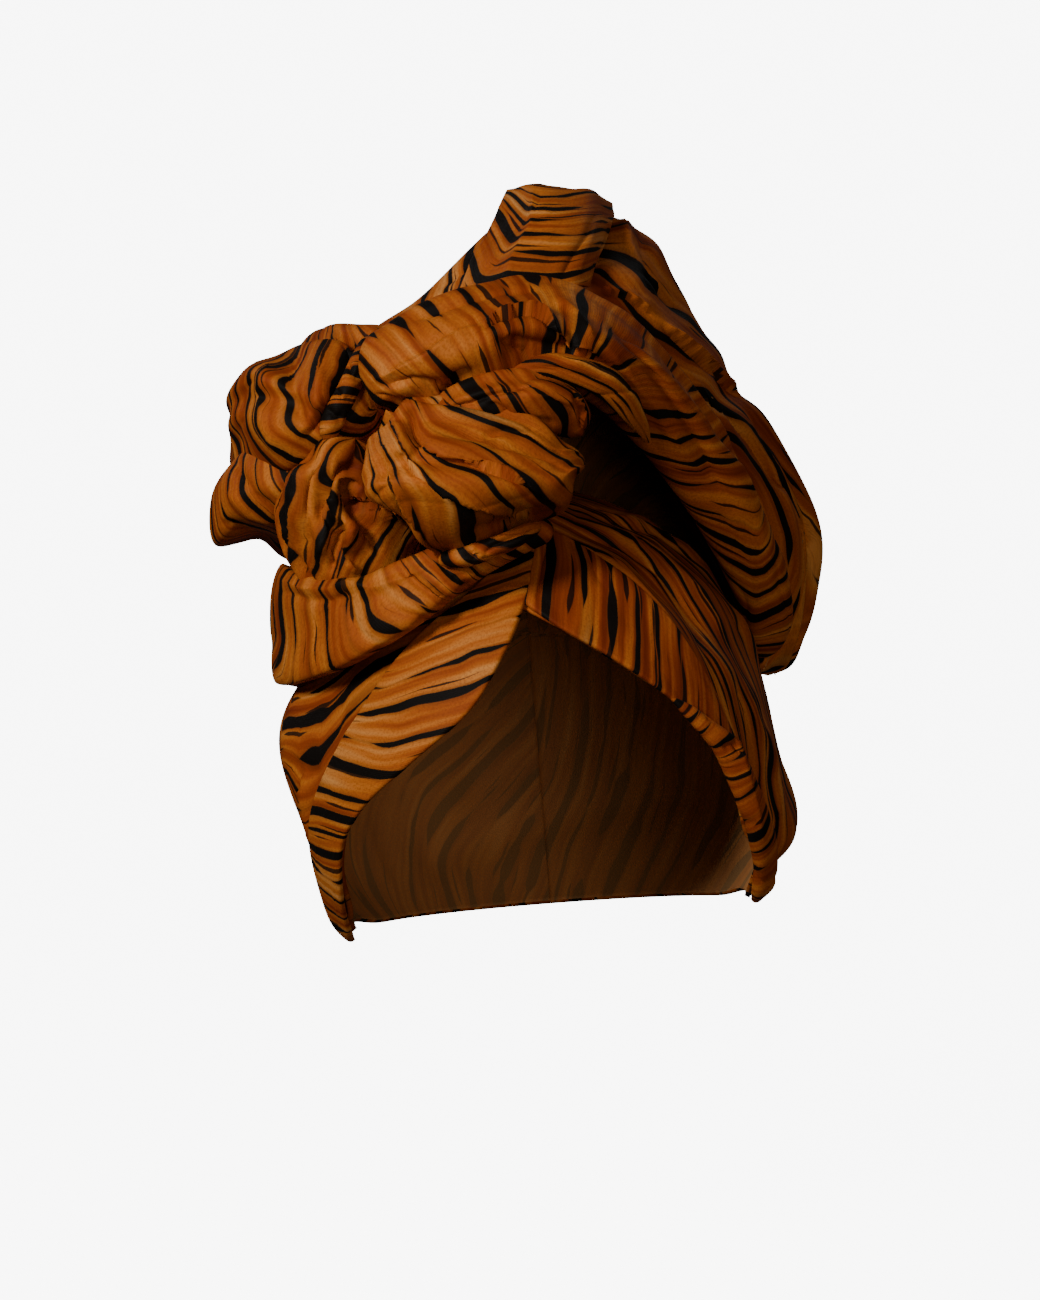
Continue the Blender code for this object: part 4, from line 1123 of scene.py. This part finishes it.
LOW_LOOP = [
    (-.78, -.46, 1.17, .66, .66, 0), (-.96, -.28, 1.16, .94, .96, 0), (-1.06, -.02, 1.11, 1, 1, 0),
    (-1.02, .26, 1.02, .94, .94, 0), (-.90, .50, .92, .64, .68, 0),
]
LOW_LOOP_FLOW = [
    [(235, 445), (252, 491), (278, 515)], [(222, 470), (232, 510), (262, 526)], [(218, 538), (252, 540)],
]
LOW_LOOP_CREASES = [
    valley(1.4, 2.0, (278, 514), (252, 496), (238, 472), (232, 446)),
    ridge(1.2, 2.0, (280, 524), (250, 514), (228, 490)),
    valley(1.6, 1.8, (276, 534), (248, 532), (220, 522)),
]
LOW_LOOP_GRABS = [
    Grab(220, 524, -2.4, -7.0, 0, 22), Grab(262, 556, 0, 5.0, 0, 20), Grab(258, 452, 0, 2.0, -4.0, 30),
]
make_roll("low_loop", "low_loop", LOW_LOOP, 0.040, 0.030, 1.2, 0.16, [Fold(80, 18, .20, .05, .95, 20)],
          (0.5, 0.6, 10, 22, 131), LOW_LOOP_FLOW, LOW_LOOP_CREASES, dict(seed=137.0, spacing=8.0),
          120, 140, 0.66, LOW_LOOP_GRABS)

# A thin twisted roll lies in the valley between the loop and the arch.
VALLEY = [(370, 340, 60), (360, 362, 69), (348, 390, 73), (336, 414, 73), (325, 440, 70)]
VALLEY_LINE = [(*placed(*spot) / SHARES, 1, 1, 0) for spot in VALLEY]
make_roll("valley", None, VALLEY_LINE, 0.0068, 0.0068, 1.0, 0.20, (), (0.3, 0.4, 5, 9, 117),
          [[(346, 372), (362, 378)], [(338, 396), (354, 402)], [(326, 420), (340, 426)]],
          [valley(0.9, 1.2, (344, 362), (352, 374), (362, 378)),
           valley(0.9, 1.2, (334, 388), (342, 398), (352, 400)),
           valley(0.9, 1.2, (326, 408), (334, 416), (344, 418))],
          dict(seed=119.0, spacing=7.0, width=4.4, waver=2.0), 100, 60)

# %% [markdown]
# ## The drape and its top fold
# Over the crown the cloth hangs as one hollow sheet, open in front on the right, with a flat fold laid
# over its ridge. Ribs from left to right carry it: each runs from its lip over a brow, a crest and the
# back to its seat on the cap.

# %% Drape
# lip, brow, crest and back as across, depth and height, then the seat's turn and rise
RIBS = [
    (-.60, -.52, .70, -.82, -.26, .70, -.96, .12, .70, -.90, .44, .62, -112, 36),
    (-.50, -.66, 1.02, -.78, -.38, 1.12, -.94, .08, 1.16, -.92, .56, .98, -127, 34),
    (-.42, -.70, 1.30, -.58, -.44, 1.45, -.68, .06, 1.54, -.72, .80, 1.18, -144, 31),
    (-.30, -.66, 1.50, -.32, -.47, 1.62, -.33, .02, 1.70, -.40, .98, 1.24, -162, 28),
    (.06, -.64, 1.64, .06, -.50, 1.84, .10, .06, 1.94, 0, 1.06, 1.26, -180, 25),
    (.44, -.55, 1.52, .48, -.42, 1.74, .55, .10, 1.88, .42, 1.02, 1.24, -197, 24),
    (.70, -.38, 1.22, .82, -.22, 1.40, .88, .22, 1.48, .76, .86, 1.08, -214, 23),
    (.90, -.14, .90, 1.08, 0, 1.06, 1.19, .28, 1.06, 1.04, .68, .84, -230, 20),
    (1.01, .06, .62, 1.22, .18, .68, 1.33, .34, .66, 1.16, .58, .57, -243, 17),
    (1.00, .20, .36, 1.12, .28, .33, 1.18, .38, .33, 1.10, .50, .34, -250, 15),
    (.97, .25, .30, 1.03, .30, .27, 1.07, .38, .27, 1.02, .46, .28, -253, 14),
]
# place, wide, deep, start, end, drift
DRAPE_FOLDS = [
    (.16, .055, .0050, .40, 1, -.03), (.30, .050, .0042, .34, .96, .10), (.48, .060, .0050, .20, .92, .12),
    (.66, .060, .0046, .10, .88, .10), (.22, .050, .0040, 0, .42, .12),
]


def drape_points(columns=270, rows=160):
    across = np.linspace(0, 1, columns + 1)
    rib = smooth(RIBS, across)
    seat = on_head(rib[:, 12], rib[:, 13], CAP_WALL - 0.0012)
    stops = np.stack([rib[:, 0:3] * SHARES, rib[:, 3:6] * SHARES, rib[:, 6:9] * SHARES,
                      rib[:, 9:12] * SHARES, seat])
    down = np.linspace(0, 1, rows + 1)
    points = np.stack([smooth(stops[:, i], down) for i in range(columns + 1)])
    depth = np.zeros(points.shape[:2])
    for place, wide, deep, start, end, drift in DRAPE_FOLDS:
        run = np.clip((across - start) / (end - start), 0, 1)
        off = down[None] - place - drift * ((across - start) / (end - start))[:, None]
        depth += deep * np.sqrt(np.sin(math.pi * run))[:, None] * np.exp(-((off / wide) ** 2))
    inward = HUB - points
    return points + inward / np.linalg.norm(inward, axis=-1, keepdims=True) * depth[..., None]


DRAPE_FLOW = [
    [(462, 258), (470, 272)], [(433, 280), (454, 299)], [(420, 290), (436, 306)], [(707, 392), (779, 449)],
    [(668, 316), (707, 333)], [(648, 286), (688, 308)], [(800, 483), (815, 567), (800, 610)],
    [(749, 650), (789, 642)], [(640, 220), (690, 300)], [(770, 440), (800, 500)], [(720, 380), (760, 440)],
]
DRAPE_CREASES = [
    valley(3.4, 3.0, (606, 208), (604, 236), (596, 262), (592, 288)),
    ridge(1.8, 2.2, (622, 212), (628, 246), (640, 276), (664, 300)),
    valley(2.0, 2.2, (640, 226), (650, 254), (656, 284), (690, 318)),
    lap(2.0, 1.8, (600, 290), (628, 296), (652, 314)),
    lap(2.6, 1.8, (662, 324), (690, 350), (714, 372), (738, 396)),
    valley(2.4, 2.4, (700, 386), (722, 412), (756, 446), (792, 500)),
    ridge(1.6, 2.2, (676, 362), (706, 398), (738, 450), (756, 500)),
    valley(1.6, 1.8, (744, 404), (780, 452), (806, 510), (812, 570)),
    ridge(1.2, 2.0, (770, 460), (790, 520), (796, 590)),
    valley(1.4, 1.6, (500, 216), (486, 244), (462, 268), (434, 290)),
]
DRAPE_GRABS = [
    Grab(654, 248, 1.6, 1.6, 0, 24), Grab(740, 382, -3.6, -2.4, 0, 24), Grab(832, 580, -2.0, 0, 0, 40),
    Grab(706, 334, -1.0, -0.6, 0, 20),
]
points = grab(drape_points(), DRAPE_GRABS)
points = crease(crumple(points, 0.9, 0.9, 14, 34, 139, (10, 30)), DRAPE_CREASES)
drape = lined(new_cloth("drape_sheet", points, lay_print(points, DRAPE_FLOW)), 0.0016)
wear_cloth(drape, "crown_drape", printed_jersey("drape_print", 149.0, width=3.8), LINING)

# %% Top fold
# Rows from the back over the top to the front edge, each from left to right.
TOP_FOLD = [
    [(507, 238, -6), (533, 234, -12), (562, 238, -12), (590, 244, -14), (608, 252, -20)],
    [(508, 190, 22), (533, 184, 34), (562, 187, 34), (588, 190, 28), (612, 204, 6)],
    [(497, 214, 38), (533, 206, 58), (565, 208, 59), (594, 212, 50), (613, 219, 26)],
    [(486, 238, 46), (530, 226, 66), (562, 232, 68), (592, 236, 60), (606, 242, 40)],
    [(470, 264, 56), (514, 251, 73), (552, 257, 74), (584, 260, 68), (596, 264, 56)],
    [(458, 292, 62), (503, 281, 78), (545, 285, 78), (578, 285, 73), (590, 287, 62)],
]


def net_points(net, rows=100, columns=120):
    """A grid of points on a smooth net, whose knots are places in the picture."""
    net = np.array([[placed(*spot) for spot in row] for row in net])
    down, across = np.linspace(0, 1, rows + 1), np.linspace(0, 1, columns + 1)
    long_way = np.stack([smooth(column, down) for column in net.transpose(1, 0, 2)], axis=1)
    return np.stack([smooth(row, across) for row in long_way])


TOP_FLOW = [
    [(534, 197), (600, 203)], [(535, 215), (592, 224)], [(535, 226), (580, 240)], [(518, 250), (568, 257)],
    [(510, 270), (560, 274)], [(506, 214), (512, 226)], [(492, 240), (500, 254)],
]
TOP_CREASES = [
    ridge(0.7, 1.5, (533, 184), (533, 206), (531, 224), (516, 248), (504, 282)),
    valley(0.9, 2.4, (522, 190), (521, 212), (514, 232), (500, 252), (484, 276)),
    ridge(0.8, 1.6, (508, 196), (500, 220), (486, 244), (468, 268)),
    valley(0.8, 1.6, (600, 206), (590, 232), (574, 256), (560, 282)),
]
points = crease(crumple(net_points(TOP_FOLD), 0.4, 0.5, 9, 20, 151), TOP_CREASES)
flap = lined(new_cloth("top_fold_cloth", points, lay_print(points, TOP_FLOW)), 0.0022)
TOP_PRINT = printed_jersey("top_fold_print", 157.0, spacing=8.0, rust=-0.03)
wear_cloth(flap, "top_fold", TOP_PRINT, LINING)

# %% [markdown]
# ## Floor and light
# A plain pale floor and backdrop keep the eye on the cloth. The photo's light is one large soft source
# high on the left and in front, with little from the right, so the hollows on the right go nearly black.

# %% Floor and backdrop
def sweep():
    """A floor that curves up into a backdrop."""
    profile = [(-3.0, -0.2), (1.6, -0.2)]
    bend = np.linspace(0.1, math.pi / 2, 14)
    profile += [(1.6 + 0.9 * math.sin(a), 0.7 - 0.9 * math.cos(a)) for a in bend]
    profile += [(2.5, 4.0)]
    rows = [[(x, y, z) for y, z in profile] for x in (-5.0, 5.0)]
    flat = [place for row in rows for place in row]
    count = len(profile)
    faces = [(i, i + 1, count + i + 1, count + i) for i in range(count - 1)]
    mesh = bpy.data.meshes.new("backdrop")
    mesh.from_pydata(flat, [], faces)
    mesh.shade_smooth()
    backdrop = bpy.data.objects.new("backdrop", mesh)
    bpy.context.scene.collection.objects.link(backdrop)
    paper = bpy.data.materials.new("backdrop_paper")
    paper.use_nodes = True
    shader = paper.node_tree.nodes["Principled BSDF"]
    shader.inputs["Base Color"].default_value = (0.80, 0.80, 0.80, 1.0)
    shader.inputs["Roughness"].default_value = 0.9
    shader.inputs["Emission Color"].default_value = (1.0, 1.0, 1.0, 1.0)
    shader.inputs["Emission Strength"].default_value = 8.0
    mesh.materials.append(paper)
    backdrop.visible_diffuse = backdrop.visible_glossy = False


sweep()

# %% Light
def soft_light(name, place, size, power, colour):
    data = bpy.data.lights.new(name, "AREA")
    data.shape, data.size, data.energy, data.color = "DISK", size, power, colour
    light = bpy.data.objects.new(name, data)
    light.location = place
    light.rotation_euler = (Vector((0, 0, 0.06)) - Vector(place)).to_track_quat("-Z", "Y").to_euler()
    bpy.context.scene.collection.objects.link(light)


soft_light("key", (-0.80, -1.10, 0.72), 0.36, 20.0, (1.0, 0.96, 0.92))
soft_light("fill", (0.45, -1.6, 0.2), 0.8, 6.5, (1.0, 0.84, 0.72))
for side in (-1.6, 1.6):
    soft_light(f"backdrop_{'left' if side < 0 else 'right'}", (side, 1.3, 1.6), 1.0, 5.0, (1, 1, 1))

world = bpy.data.worlds.new("studio")
world.use_nodes = True
world.node_tree.nodes["Background"].inputs["Color"].default_value = (1, 1, 1, 1)
world.node_tree.nodes["Background"].inputs["Strength"].default_value = 0.05
bpy.context.scene.world = world

# %% End
print("scene built")
